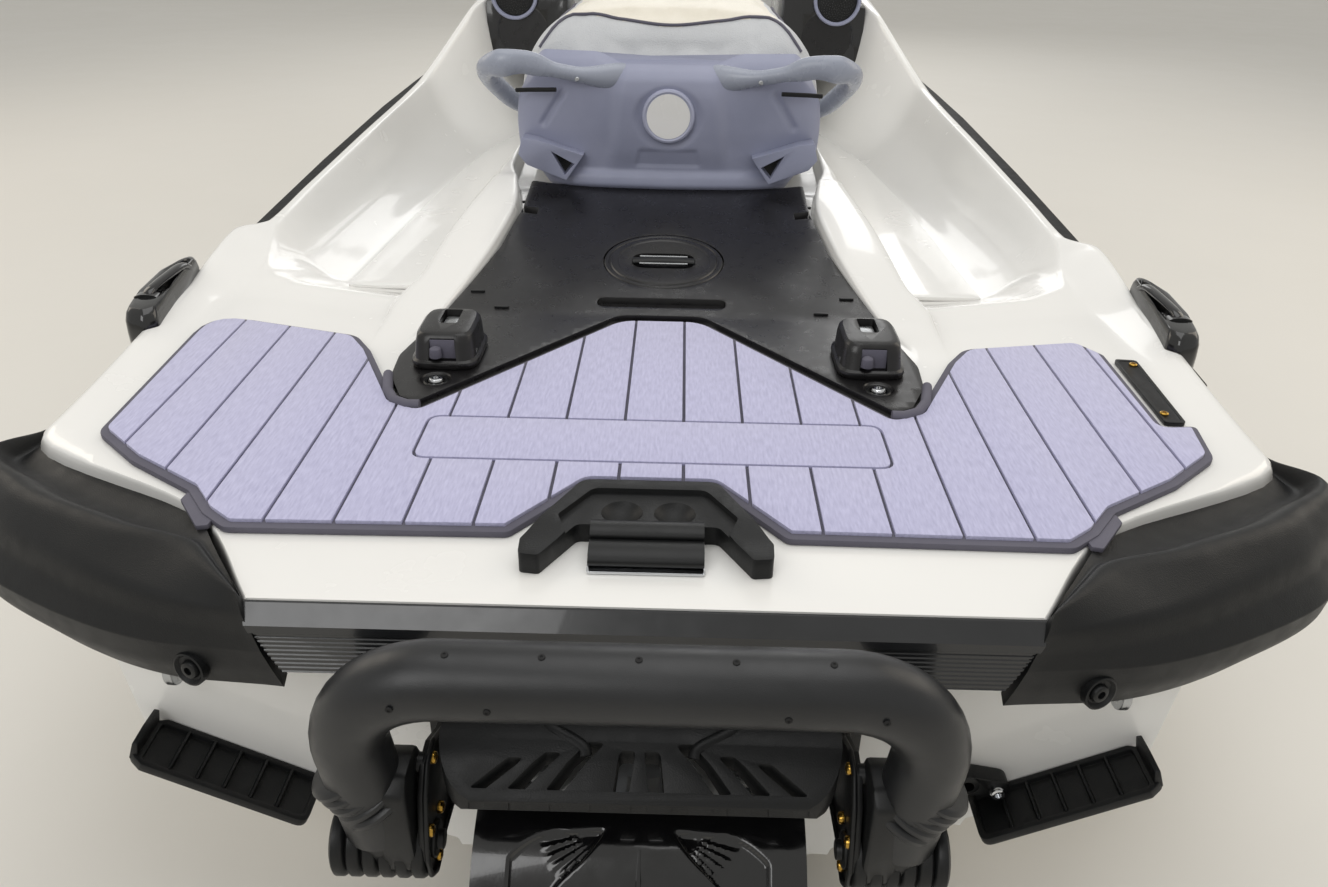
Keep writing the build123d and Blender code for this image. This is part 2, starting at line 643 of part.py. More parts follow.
def tail_wire(row):
    lift, rear, half = row
    outline = [(0, rear), (half * 0.6, rear + 3), (half * 0.88, rear + 16), (half, TAIL_FRONT - 8),
               (half - 6, TAIL_FRONT), (0, TAIL_FRONT)]
    z = TAIL_Z + SEAT_GAP + lift
    other = [(-x, p) for x, p in reversed(outline) if x > 0]
    return Wire.make_polygon([(x, y_at(p), z) for x, p in outline + other])


tail = skin([tail_wire(row) for row in TAIL])
for side in (-1, 1):
    pod = prism_z([(side * x, p) for x, p in [(148, TAIL_P - 30), (172, TAIL_P - 34), (222, TAIL_P - 6),
                                              (222, TAIL_P + 20), (148, TAIL_P + 20)]],
                  TAIL_Z + PLATE_T + SEAT_GAP, TAIL_Z + 60)
    hole = prism_z([(side * x, p) for x, p in [(160, TAIL_P - 40), (184, TAIL_P - 40), (184, TAIL_P - 12),
                                               (160, TAIL_P - 12)]], TAIL_Z + 24, TAIL_Z + 48)
    tail = tail + (pod - hole)
save(one(tail), "seat_tail")

# Grab handles: a padded bar from the tail's top, round and back to its side
HANDLE = [(108, TAIL_P - 4, 396), (168, TAIL_P - 46, 424), (246, TAIL_P - 58, 430), (266, TAIL_P + 14, 408),
          (254, TAIL_P + 64, 360), (216, TAIL_P + 76, 342)]
line = FilletPolyline(*[(x, y_at(p), z) for x, p, z in HANDLE], radius=[24, 24, 24, 16])
handle = sweep(Plane(line @ 0, z_dir=line % 0) * Circle(HANDLE_R), path=line)
handle = handle - tail - passenger_seat
save(both(one(handle)), "grab_handles")

# Side panels at the front of the footwells, each with a round speaker
PANEL_REAR = 1775.0
panel_space = prism_x([(PANEL_REAR, 300), (1985, 225), (1985, 560), (PANEL_REAR + 30, 560)], 236, 412)
side_panel = well_right & panel_space
side_panel = one(side_panel & deck_body)
SPEAKER = (332.0, 362.0, 52.0)         # x, z, radius
speaker_base = rod((SPEAKER[0], PANEL_REAR - 20, SPEAKER[1]), (SPEAKER[0], PANEL_REAR + 34, SPEAKER[1]),
                   SPEAKER[2])
side_panel = side_panel - speaker_base
save(both(one(side_panel)), "side_panels")
speaker = rod((SPEAKER[0], PANEL_REAR + 4, SPEAKER[1]), (SPEAKER[0], PANEL_REAR + 34 - SEAT_GAP, SPEAKER[1]),
              SPEAKER[2] - SEAT_GAP)
save(both(speaker), "speakers")

# Steering: column, swept bar, grips and centre pad
column = Solid.make_cylinder(COLUMN_R, COLUMN_L + 60 - BAR_R - 4, on_column(-60))
collar = Solid.make_cylinder(COLUMN_R + 14, 18, on_column(10 + SEAT_GAP))
bar_local = [(-BAR_HALF, -92, 14), (-150, -14, 26), (-82, 0, 0), (82, 0, 0), (150, -14, 26),
             (BAR_HALF, -92, 14)]
head = on_column(COLUMN_L)
bar_points = [head.from_local_coords(point) for point in bar_local]
bar_line = FilletPolyline(*bar_points, radius=30)
bar = sweep(Plane(bar_line @ 0, z_dir=bar_line % 0) * Circle(BAR_R), path=bar_line)
column = column + collar + Solid.make_cylinder(COLUMN_R, 20, on_column(COLUMN_L - 20))
handlebar = one(column + bar)
save(handlebar, "handlebar")
grip_end = bar_points[-1]
grip_dir = (bar_points[-1] - bar_points[-2]).normalized()
grip_plane = Plane(grip_end - grip_dir * (GRIP_L - 8), z_dir=grip_dir)
grip = Solid.make_cylinder(GRIP_R, GRIP_L, grip_plane)
grip = grip - Solid.make_cylinder(BAR_R + SEAT_GAP, GRIP_L - 7.5, grip_plane)
save(both(grip), "grips")
pad_plane = on_column(COLUMN_L + BAR_R + SEAT_GAP)
pad = loft([pad_plane * Rectangle(130, 96), pad_plane.offset(22) * Rectangle(150, 120),
            pad_plane.offset(40) * Rectangle(110, 84)], ruled=True)
save(pad, "steering_pad")

# Gauge binnacle ahead of the bar
gauge = prism_x([(2416, 560), (2416, 668), (2462, 700), (2530, 640), (2530, 560)], -118, 118) - console - cowl
save(one(gauge), "gauge")

# Mirrors on the cowl
mirror_stalk = box(258, 330, 2462, 2500, 520, 566)
mirror_head = box(318, 452, 2448, 2512, 538, 632)
mirror_seat = Pos(SEAT_GAP, 0, SEAT_GAP) * deck_body
mirror_right = chamfer((mirror_stalk + mirror_head).edges().filter_by(Axis.Y), 5) - mirror_seat
save(both(one(mirror_right)), "mirrors")

# Jet pump, on the transom's centreline
housing = rod((0, PUMP_P, JET_Z), (0, TUNNEL_P - SEAT_GAP, JET_Z), HOUSING_R)
housing = housing - rod((0, PUMP_P, JET_Z), (0, TUNNEL_P, JET_Z), DUCT_R)
VANES = 5
for k in range(VANES):
    vane = Pos(0, 0, (HUB_R + DUCT_R) / 2) * Box(5, 60, DUCT_R - HUB_R + 8)
    housing = housing + Pos(0, y_at(PUMP_P + 36), JET_Z) * Rot(0, k * 360 / VANES, 0) * vane
hub = rod((0, PUMP_P - 6, JET_Z), (0, PUMP_P + 70, JET_Z), HUB_R)
housing = housing + hub
for side in (-1, 1):
    foot = box(side * (HOUSING_R - 8), side * (TUNNEL_HALF - SEAT_GAP), 96, 250, JET_Z - 10, JET_Z + 10)
    lug = box(side * (HOUSING_R - 8), side * 124, PUMP_P - 44, PUMP_P + 40, JET_Z - 14, JET_Z + 14)
    housing = housing + (foot - rod((0, 0, JET_Z), (0, 300, JET_Z), DUCT_R))
    housing = housing + (lug - rod((0, -100, JET_Z), (0, 300, JET_Z), DUCT_R))
    housing = housing - rod((side * 70, 0, JET_Z), (side * 140, 0, JET_Z), PIN_R + PIN_GAP)
cone_wire = [(DUCT_R, PUMP_P), (HOUSING_R, PUMP_P), (NOZZLE_R + 16, 14), (NOZZLE_R + 8, 14)]
cone = revolve(make_face(Polyline(*[(x, y_at(p), JET_Z) for x, p in cone_wire], close=True)),
               Axis((0, 0, JET_Z), (0, 1, 0)))
housing = housing + cone
NOZZLE_EAR = 66.0          # top of the nozzle's bosses, from the jet's axis
NOZZLE_PIN_R = 6.0
LUG_T = 12.0
for side in (-1, 1):
    inner, outer = JET_Z + side * (NOZZLE_EAR + 2), JET_Z + side * (NOZZLE_EAR + 2 + LUG_T)
    steer_lug = box(-14, 14, -14, PUMP_P + 2, min(inner, outer), max(inner, outer))
    housing = housing + steer_lug
    housing = housing - rod((0, 0, JET_Z + side * 60), (0, 0, JET_Z + side * 90), NOZZLE_PIN_R + PIN_GAP)
save(one(housing), "pump_housing")

# Impeller: hub, shaft and pitched blades
impeller = rod((0, PUMP_P + 76, JET_Z), (0, TUNNEL_P - 30, JET_Z), HUB_R)
impeller = impeller + rod((0, TUNNEL_P - 31, JET_Z), (0, ENGINE[2] - 2, JET_Z), SHAFT_R)
BLADES = 4
for k in range(BLADES):
    blade = Pos(0, 0, (HUB_R + BLADE_R) / 2 - 2) * Rot(0, 0, 52) * Box(104, 7, BLADE_R - HUB_R + 4)
    blade = Pos(0, y_at(PUMP_P + 130), JET_Z) * Rot(0, k * 360 / BLADES, 0) * blade
    impeller = impeller + blade
impeller = impeller & rod((0, PUMP_P + 74, JET_Z), (0, ENGINE[2], JET_Z), BLADE_R)
save(one(impeller), "impeller")

# Steering nozzle: a tapered tube on a vertical pivot
nozzle_wire = [(NOZZLE_R - NOZZLE_T, 6), (NOZZLE_R, 6), (NOZZLE_EXIT_R + NOZZLE_T, 6 - NOZZLE_L),
               (NOZZLE_EXIT_R, 6 - NOZZLE_L)]
nozzle = revolve(make_face(Polyline(*[(x, y_at(p), JET_Z) for x, p in nozzle_wire], close=True)),
                 Axis((0, 0, JET_Z), (0, 1, 0)))
for side in (-1, 1):
    nozzle = nozzle + rod((0, 0, JET_Z + side * (NOZZLE_R - 3)), (0, 0, JET_Z + side * NOZZLE_EAR), 11)
    nozzle = nozzle + rod((0, 0, JET_Z + side * (NOZZLE_EAR - 1)),
                          (0, 0, JET_Z + side * (NOZZLE_EAR + 2 + LUG_T)), NOZZLE_PIN_R)
nozzle = one(nozzle)
save(nozzle, "nozzle")

# Reverse gate: a curved shell on a transverse pivot, with two cheeks
gate_points = 7
outer_arc = []
inner_arc = []
for k in range(gate_points):
    a = radians(GATE_FROM + (GATE_TO - GATE_FROM) * k / (gate_points - 1))
    outer_arc.append((-GATE_R * cos(a), JET_Z + GATE_R * sin(a)))
    inner_arc.append((-(GATE_R - GATE_T) * cos(a), JET_Z + (GATE_R - GATE_T) * sin(a)))
gate = prism_x(outer_arc + inner_arc[::-1], -GATE_HALF, GATE_HALF)
CHEEK_T = 5.0
for side in (-1, 1):
    cheek = prism_x(outer_arc + [(14, JET_Z + 12), (14, JET_Z - 12), (-14, JET_Z - 14)],
                    side * (GATE_HALF - CHEEK_T), side * GATE_HALF)
    gate = gate + cheek
    gate = gate + rod((side * 96, 0, JET_Z), (side * (GATE_HALF - 1), 0, JET_Z), PIN_R)
gate = gate + box(-8, 8, -GATE_R - 2, -GATE_R + 8, JET_Z - 10, JET_Z + 20)
save(one(gate), "reverse_gate")

# Pump cover: a visor over the jet with fanned slots
COVER_HALF = 152.0
cover = prism_x([(TRANSOM_P - SEAT_GAP, 106), (-40, 106), (-62, 98), (-84, 74), (-82, 64), (-76, 62),
                 (-60, 82), (-40, 92), (TRANSOM_P - SEAT_GAP, 92)], -COVER_HALF, COVER_HALF)
cover_plan = round_prism([(COVER_HALF, 200), (-COVER_HALF, 200), (-COVER_HALF, -84), (COVER_HALF, -84)],
                         24, 40, 140)
cover = cover & cover_plan
for side in (-1, 1):
    for k in range(4):
        x = 14 + 27 * k
        lean = 4 + 12 * k
        cut = [(side * x, -90), (side * (x + 12), -90), (side * (x + 12 - lean), -40),
               (side * (x - lean + 2), -40)]
        if k > 0:
            cover = cover - (prism_z(cut, 50, 130) - box(-200, 200, -90, -80, 40, 140))
save(one(cover), "pump_cover")

# Ride plate: a shallow vee that closes the tunnel from below, with four strakes
PLATE_EDGE = TUNNEL_HALF - SEAT_GAP
VEE = (HULL_AFT[0][3] - KEEL_Z) / HULL_AFT[0][2]       # rise of the hull's bottom per millimetre outboard


def vee_bar(x0, x1, low, high, p0, p1):
    """Bar along the craft that follows the vee of the bottom, low to high over the keel line."""
    points = [(x, KEEL_Z + VEE * abs(x) + lift) for x, lift in
              [(x0, low), (x1, low), (x1, high), (x0, high)]]
    if x0 < 0 < x1:
        points.insert(1, (0, KEEL_Z + low))
        points.insert(4, (0, KEEL_Z + high))
    base = Face(Wire.make_polygon([(x, y_at(p0), z) for x, z in points]))
    return Solid.extrude(base, Vector(0, p1 - p0, 0))


ride_plate = vee_bar(-PLATE_EDGE, PLATE_EDGE, 2, 11, 60, TUNNEL_P - SEAT_GAP)
for x in (-96, -48, 48, 96):
    ride_plate = ride_plate + vee_bar(x - 4, x + 4, -4, 3, 64, TUNNEL_P - 4)
save(one(ride_plate), "ride_plate")

# Intake grate: bars along the duct's mouth, between two cross bars
GRATE_EDGE = INTAKE_HALF - SEAT_GAP
GRATE_Z = (-208, -196)
DUCT_ROOF = [(690, -262), (470, JET_Z + 20)]
roof_slope = (DUCT_ROOF[1][0] - DUCT_ROOF[0][0]) / (DUCT_ROOF[1][1] - DUCT_ROOF[0][1])
grate_end = [DUCT_ROOF[0][0] + roof_slope * (z - DUCT_ROOF[0][1]) - 2 * SEAT_GAP for z in GRATE_Z]
grate_start = INTAKE_P + SEAT_GAP
BARS = 3
BAR_PITCH = 38.0
grate = box(-GRATE_EDGE, GRATE_EDGE, grate_start, grate_start + 14, *GRATE_Z)
grate = grate + prism_x([(grate_end[0] - 14, GRATE_Z[0]), (grate_end[0], GRATE_Z[0]),
                         (grate_end[1], GRATE_Z[1]), (grate_end[1] - 14, GRATE_Z[1])],
                        -GRATE_EDGE, GRATE_EDGE)
for k in range(BARS):
    x = (k - (BARS - 1) / 2) * BAR_PITCH
    grate = grate + prism_x([(grate_start, GRATE_Z[0]), (grate_end[0], GRATE_Z[0]),
                             (grate_end[1], GRATE_Z[1]), (grate_start, GRATE_Z[1])], x - 5, x + 5)
save(one(grate), "intake_grate")

# Sponsons on the hull's sides, by the chine
sponson = prism_x([(560, 6), (620, -34), (1500, -34), (1560, -10), (1500, 6)], 440, 540)
sponson = one(sponson & prism_z([(440, 560), (520, 620), (524, 1500), (480, 1560), (440, 1560)], -60, 60))
sponson = one(sponson - hull_body)
save(both(sponson), "sponsons")

# Boarding steps: ribbed trays on the transom
STEP_L = 165.0
STEP_D = 56.0
STEP_T = 8.0
tray = Box(STEP_L, STEP_D, STEP_T) - Pos(0, 0, 3) * Box(STEP_L - 10, STEP_D - 10, STEP_T)
for k in range(5):
    tray = tray + Pos(-STEP_L / 2 + STEP_L * (k + 1) / 6, 0, 1) * Box(4, STEP_D - 4, STEP_T)
tray = tray + Pos(STEP_L / 2 - 4, 0, 8) * Box(8, STEP_D, 22)
step_right = Pos(393, y_at(TRANSOM_P - SEAT_GAP - STEP_D / 2), -52) * Rot(0, -28, 0) * tray
save(both(one(step_right)), "boarding_steps")

# Ladder: padded hoop on two ribbed drums, and its brackets with their pins
hoop = [(LADDER_HALF, LADDER_PIVOT_P, LADDER_PIVOT_Z), (LADDER_HALF, LADDER_BAR_P, LADDER_BAR_Z),
        (-LADDER_HALF, LADDER_BAR_P, LADDER_BAR_Z), (-LADDER_HALF, LADDER_PIVOT_P, LADDER_PIVOT_Z)]
hoop_line = FilletPolyline(*[(x, y_at(p), z) for x, p, z in hoop], radius=LADDER_BEND_R)
ladder = sweep(Plane(hoop_line @ 0, z_dir=hoop_line % 0) * Circle(TUBE_R), path=hoop_line)
leg = Vector(0, LADDER_BAR_P - LADDER_PIVOT_P, LADDER_BAR_Z - LADDER_PIVOT_Z).normalized()
RIBS = 4
for side in (-1, 1):
    pivot = Vector(side * LADDER_HALF, y_at(LADDER_PIVOT_P), LADDER_PIVOT_Z)
    for k in range(RIBS):
        ladder = ladder + Solid.make_cylinder(TUBE_R + 3, 5, Plane(pivot + leg * (70 + 11 * k), z_dir=leg))
    drum_in = side * (DRUM_X - DRUM_W / 2)
    drum_out = side * (DRUM_X + DRUM_W / 2)
    ladder = ladder + rod((drum_in, LADDER_PIVOT_P, LADDER_PIVOT_Z),
                          (drum_out, LADDER_PIVOT_P, LADDER_PIVOT_Z), DRUM_R)
for side in (-1, 1):
    ladder = ladder - rod((side * 150, LADDER_PIVOT_P, LADDER_PIVOT_Z),
                          (side * 260, LADDER_PIVOT_P, LADDER_PIVOT_Z), PIN_R + PIN_GAP)
save(one(ladder), "ladder")
bracket_in = DRUM_X - DRUM_W / 2 - 1 - BRACKET_T
bracket_side = [(TRANSOM_P - SEAT_GAP, 52), (-40, 52), (-66, 30), (-72, -24), (-50, -38), (-30, -30),
                (TRANSOM_P - SEAT_GAP, -40)]
bracket = prism_x(bracket_side, bracket_in, bracket_in + BRACKET_T)
bracket = bracket + box(bracket_in, bracket_in + 40, TRANSOM_P - SEAT_GAP - 8, TRANSOM_P - SEAT_GAP, -40, 52)
bracket = bracket + rod((bracket_in + 1, LADDER_PIVOT_P, LADDER_PIVOT_Z),
                        (DRUM_X + DRUM_W / 2, LADDER_PIVOT_P, LADDER_PIVOT_Z), PIN_R)
save(both(one(bracket)), "ladder_brackets")

# Mooring eyes: a drilled tab on the stem, two on the transom under the bumpers
EYE_R = 9.0                # hole
EYE_RIM = 8.0              # metal round the hole
EYE_T = 8.0


def eye(x, p, z):
    """Upright tab in the plane across X, its hole's middle at (x, p, z)."""
    outline = Pos(x - EYE_T / 2, y_at(p), z) * Rot(0, 90, 0) * extrude(Circle(EYE_R + EYE_RIM), amount=EYE_T)
    return outline - rod((x - 20, p, z), (x + 20, p, z), EYE_R)


BOW_EYE = (0, 3402, 168)
STERN_EYE = (412, TRANSOM_P - EYE_R - EYE_RIM + 4, 60)
bow_web = box(-EYE_T / 2, EYE_T / 2, BOW_EYE[1] - 60, BOW_EYE[1] - EYE_R, BOW_EYE[2] - EYE_R - EYE_RIM,
              BOW_EYE[2] + EYE_R + EYE_RIM)
bow_web = bow_web - rod((-20, BOW_EYE[1], BOW_EYE[2]), (20, BOW_EYE[1], BOW_EYE[2]), EYE_R)
save(one(eye(*BOW_EYE) + bow_web - hull_body), "bow_eye")
save(both(one(eye(*STERN_EYE) - hull_body)), "stern_eyes")
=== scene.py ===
# %% [markdown]
# A three-seat personal watercraft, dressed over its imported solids.
# Frame: +Y ahead to the bow, +X to starboard, +Z up, metres. Places along the craft are given
# as p, millimetres ahead of the swim platform's rear edge, with x and z in millimetres too.

# %% Frame and imports
import json
import math

import bmesh
import bpy
import numpy as np
from mathutils import Matrix, Vector

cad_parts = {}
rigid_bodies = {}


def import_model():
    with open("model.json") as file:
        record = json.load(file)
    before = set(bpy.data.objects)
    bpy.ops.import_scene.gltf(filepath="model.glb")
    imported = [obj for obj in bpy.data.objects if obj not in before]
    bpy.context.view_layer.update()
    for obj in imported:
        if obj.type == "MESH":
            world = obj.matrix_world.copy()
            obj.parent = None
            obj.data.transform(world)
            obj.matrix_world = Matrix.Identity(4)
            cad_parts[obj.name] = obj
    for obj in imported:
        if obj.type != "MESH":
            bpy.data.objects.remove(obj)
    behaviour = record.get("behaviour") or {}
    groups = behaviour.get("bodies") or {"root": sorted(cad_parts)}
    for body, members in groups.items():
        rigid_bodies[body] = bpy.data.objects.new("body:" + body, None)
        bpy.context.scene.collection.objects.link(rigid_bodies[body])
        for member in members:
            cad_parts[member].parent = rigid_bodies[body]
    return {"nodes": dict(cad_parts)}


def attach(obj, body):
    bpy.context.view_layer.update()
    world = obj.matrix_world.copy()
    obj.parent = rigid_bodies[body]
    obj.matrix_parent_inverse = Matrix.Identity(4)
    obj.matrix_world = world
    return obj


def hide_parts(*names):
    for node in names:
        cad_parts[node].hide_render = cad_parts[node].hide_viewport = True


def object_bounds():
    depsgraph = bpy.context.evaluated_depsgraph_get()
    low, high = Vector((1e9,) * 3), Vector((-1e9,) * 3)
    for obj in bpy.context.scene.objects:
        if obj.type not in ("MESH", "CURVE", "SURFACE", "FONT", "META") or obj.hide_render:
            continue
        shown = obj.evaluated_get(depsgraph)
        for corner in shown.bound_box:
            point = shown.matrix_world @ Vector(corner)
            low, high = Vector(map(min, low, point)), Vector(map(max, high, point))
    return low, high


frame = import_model()
CAD_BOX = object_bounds()
nodes = frame["nodes"]
scene = bpy.context.scene
STERN_Y = -1.5       # the swim platform's rear edge, metres


def pt(x, p, z):
    """A place in metres from x, p and z in millimetres."""
    return Vector((x / 1000, STERN_Y + p / 1000, z / 1000))


# %% [markdown]
# Colours are written as sRGB hex, as they would be read off a paint chart, and one function makes
# them linear for the shader. One more adds a node with its settings and links. It serves materials
# here and Geometry Nodes later, so a tree reads as a list of what is in it.

# %% Colours and nodes
def rgb(code):
    """The linear colour of an sRGB hex code."""
    parts = [int(code[i:i + 2], 16) / 255 for i in (1, 3, 5)]
    return tuple(c / 12.92 if c <= 0.04045 else ((c + 0.055) / 1.055) ** 2.4 for c in parts) + (1.0,)


def add_node(tree, kind, inputs=(), **settings):
    """A new node. inputs: {name or number: value or socket}; settings: its own properties."""
    n = tree.nodes.new(kind)
    for key, value in settings.items():
        setattr(n, key, value)
    for key, value in dict(inputs).items():
        if isinstance(value, bpy.types.NodeSocket):
            tree.links.new(value, n.inputs[key])
        else:
            n.inputs[key].default_value = value
    return n


class Mat:
    """A Principled material. place is its Object coordinates, in metres."""

    def __init__(self, name, **values):
        self.m = bpy.data.materials.new(name)
        self.m.use_nodes = True
        self.tree = self.m.node_tree
        self.shader = self.tree.nodes["Principled BSDF"]
        for key, value in values.items():
            self.shader.inputs[key.replace("_", " ")].default_value = value
        self.place = self.node("TexCoord", out="Object")

    def node(self, kind, inputs=(), out=0, **settings):
        """Adds a node and gives one of its outputs."""
        return add_node(self.tree, "ShaderNode" + kind, inputs, **settings).outputs[out]

    def set(self, **sources):
        """Links sockets to the shader's inputs."""
        for key, source in sources.items():
            self.tree.links.new(source, self.shader.inputs[key.replace("_", " ")])
        return self


def patches(m, scale, low, high, a, b):
    """A value that drifts from a to b over patches about 1 / scale metres wide."""
    cloud = m.node("TexNoise", {"Vector": m.place, "Scale": scale, "Detail": 4})
    return m.node("MapRange", {"Value": cloud, "From Min": low, "From Max": high, "To Min": a, "To Max": b})


def tinted(m, amount, dark, light):
    """Colours the material from dark to light by an amount."""
    return m.set(Base_Color=m.node("Mix", {0: amount, 6: rgb(dark), 7: rgb(light)}, out=2, data_type="RGBA"))


def embossed(m, height, strength, depth):
    """Lets a height play on the light as relief, depth in metres."""
    return m.set(Normal=m.node("Bump", {"Height": height, "Strength": strength, "Distance": depth}))


# %% [markdown]
# The craft is a few families of material: sprayed gelcoat, injection-moulded plastics, soft foam,
# vinyl and some metal. Moulded plastics differ only in colour, gloss and the grain etched into
# their mould, so one recipe with those three numbers makes them all. A photograph could be used
# instead, but a procedural grain keeps its size on every piece. Grain is given in cells to the
# metre: 900 is a grain of 1.1 mm, drawn coarser than the real one so that it shows at all.

# %% Moulded, cast and polished finishes
def moulded(name, dark, light, rough, grain, depth, **values):
    """Colour drifts over hand-wide patches, gloss over finger-wide ones, and cells give the grain."""
    m = Mat(name, **values)
    tinted(m, patches(m, 9, 0.3, 0.7, 0, 1), dark, light)
    m.set(Roughness=patches(m, 60, 0.3, 0.7, rough - 0.05, rough + 0.06))
    cells = m.node("TexVoronoi", {"Vector": m.place, "Scale": grain})
    return embossed(m, cells, 0.35, depth)


# Polypropylene, spark-eroded mould: dull black whose highlights break up into a soft haze
grained = moulded("polypropylene_black_grained", "#0D0E0F", "#131415", 0.46, 900, 0.0004, IOR=1.38)
# Glass-filled nylon, satin mould: black with broad, quiet highlights
satin = moulded("nylon_black_satin", "#0D0E0F", "#131415", 0.38, 1400, 0.0002, IOR=1.4)
# ABS, polished mould: deep black that mirrors lamps with crisp edges
gloss = moulded("abs_black_gloss", "#0B0B0C", "#111112", 0.14, 500, 0.00004, Coat_Weight=0.5)
# ASA, polished: a lighter grey-black than the other black plastics, with a bright band along each edge
trim_gloss = moulded("asa_black_gloss_trim", "#1A1B1D", "#242527", 0.2, 600, 0.00004, Coat_Weight=0.4)
# ASA, half gloss: the big plate shows a wide soft sheen and no sharp image
plate_mat = moulded("asa_black_plate", "#100F10", "#151415", 0.3, 900, 0.00007)
# Rubber, as pressed: no clear highlight, only a grey bloom at low angles
rubber = moulded("rubber_black", "#101011", "#161617", 0.62, 1200, 0.0003, IOR=1.4)
# Integral-skin foam: charcoal, with a leathery half sheen over thick soft curves
foam = moulded("foam_skin_charcoal", "#17181A", "#1E1F21", 0.34, 1600, 0.0002)
# Polypropylene coloured through: grey leaning to lavender, dull as a fresh moulding
tail_grey = moulded("polypropylene_grey_lavender", "#8C90A6", "#989BB1", 0.4, 1100, 0.0003)
# Soft-touch overmoulding: paler, and velvety where the hand goes
pad_grey = moulded("soft_touch_grey_lavender", "#A3A6BB", "#ADB0C5", 0.5, 1500, 0.0002)
# The same polypropylene off a smoother tool: the loops catch a brighter line
loop_grey = moulded("polypropylene_grey_smooth", "#9398A6", "#9EA3B0", 0.26, 900, 0.00006)
# EVA foam base sheet: dark, chalky grey that reads as the seams between planks
seam_foam = moulded("eva_foam_dark_grey", "#55535F", "#605E6A", 0.75, 1300, 0.0004)
# Cast aluminium, bead blasted: pale grey metal without a mirror image
alloy = moulded("cast_alloy", "#8E9092", "#9B9DA0", 0.42, 700, 0.0003, Metallic=0.9)
# Stainless steel, brushed: bright, with its reflections smeared
steel = moulded("brushed_steel", "#A9ABAD", "#B7B9BB", 0.28, 300, 0.0001, Metallic=1.0)
# Chromed steel: a mirror, near white where it faces the lamps
chrome = moulded("chrome", "#C9CBCE", "#D4D6D9", 0.1, 200, 0.00002, Metallic=1.0)
# Brass screws and bolts, lacquered: warm yellow sparks against the black
brass = moulded("brass", "#B08A3C", "#C29B4A", 0.25, 400, 0.00005, Metallic=1.0)
# Powder coat on the bar: black with a slight orange-peel sheen
coated = moulded("powder_coat_black", "#141416", "#1B1B1D", 0.34, 800, 0.0002)
# Cast iron, rough as cast: a dull grey mass, out of sight under the deck
block = moulded("cast_iron_grey", "#4A4B4E", "#57585B", 0.6, 500, 0.0006, Metallic=0.5)
print("materials so far", len(bpy.data.materials))

# %% [markdown]
# Three finishes need their own recipe. Gelcoat is pigmented polyester sprayed into a polished
# mould, so it has a clear skin over an even white. The mat's foam is brushed one way, which
# stretches its nap into streaks along the craft. Marine vinyl is embossed with a pebble grain
# that is glossier on its tops than in its valleys.

# %% Gelcoat, brushed foam and vinyl
# Gelcoat: wet, even white with a sharp reflection on top and the faintest ripple in it
gelcoat = Mat("gelcoat_white", Coat_Weight=0.6, Coat_Roughness=0.06, IOR=1.5)
tinted(gelcoat, patches(gelcoat, 3, 0.35, 0.65, 0, 1), "#EDECE9", "#E8E7E4")
gelcoat.set(Roughness=patches(gelcoat, 12, 0.3, 0.7, 0.24, 0.28))
ripple = gelcoat.node("TexNoise", {"Vector": gelcoat.place, "Scale": 160, "Detail": 2})
embossed(gelcoat, ripple, 0.012, 0.0002)

# EVA foam planks: matt lavender, streaked along the craft, pale at low angles like suede
eva = Mat("eva_foam_lavender", Sheen_Weight=0.25, Sheen_Roughness=0.5)
brushed = eva.node("Mapping", {"Vector": eva.place, "Scale": (1.0, 0.16, 1.0)})
nap = eva.node("TexNoise", {"Vector": brushed, "Scale": 420, "Detail": 3})
streaks = eva.node("MapRange", {"Value": nap, "From Min": 0.3, "From Max": 0.7, "To Min": 0, "To Max": 1})
tinted(eva, streaks, "#A9A8C6", "#BCBBD8")
eva.set(Roughness=patches(eva, 7, 0.3, 0.7, 0.66, 0.8))
embossed(eva, nap, 0.5, 0.0006)


def vinyl_of(name, dark, light, scale=650):
    """Marine vinyl: soft and slightly waxy, with pebbles whose tops shine a little more."""
    m = Mat(name, Sheen_Weight=0.12)
    pebbles = m.node("TexVoronoi", {"Vector": m.place, "Scale": scale})
    tinted(m, patches(m, 14, 0.3, 0.7, 0, 1), dark, light)
    m.set(Roughness=m.node("MapRange", {"Value": pebbles, "From Min": 0.0, "From Max": 0.6,
                                        "To Min": 0.5, "To Max": 0.38}))
    return embossed(m, pebbles, 0.55, 0.0009)


# Silver sides and cream top, the cream with a finer pebble
vinyl = vinyl_of("marine_vinyl_silver", "#B9BBBE", "#C5C7CA")
cream = vinyl_of("marine_vinyl_cream", "#E0DACB", "#E9E3D5", 900)

# %% [markdown]
# Every CAD node takes the finish of its real material, so that nothing is left plain if it stays
# in view. Those that get a detailed piece are hidden later by the piece that stands for them. One
# table from finish to nodes is easier to check than a line for each node.

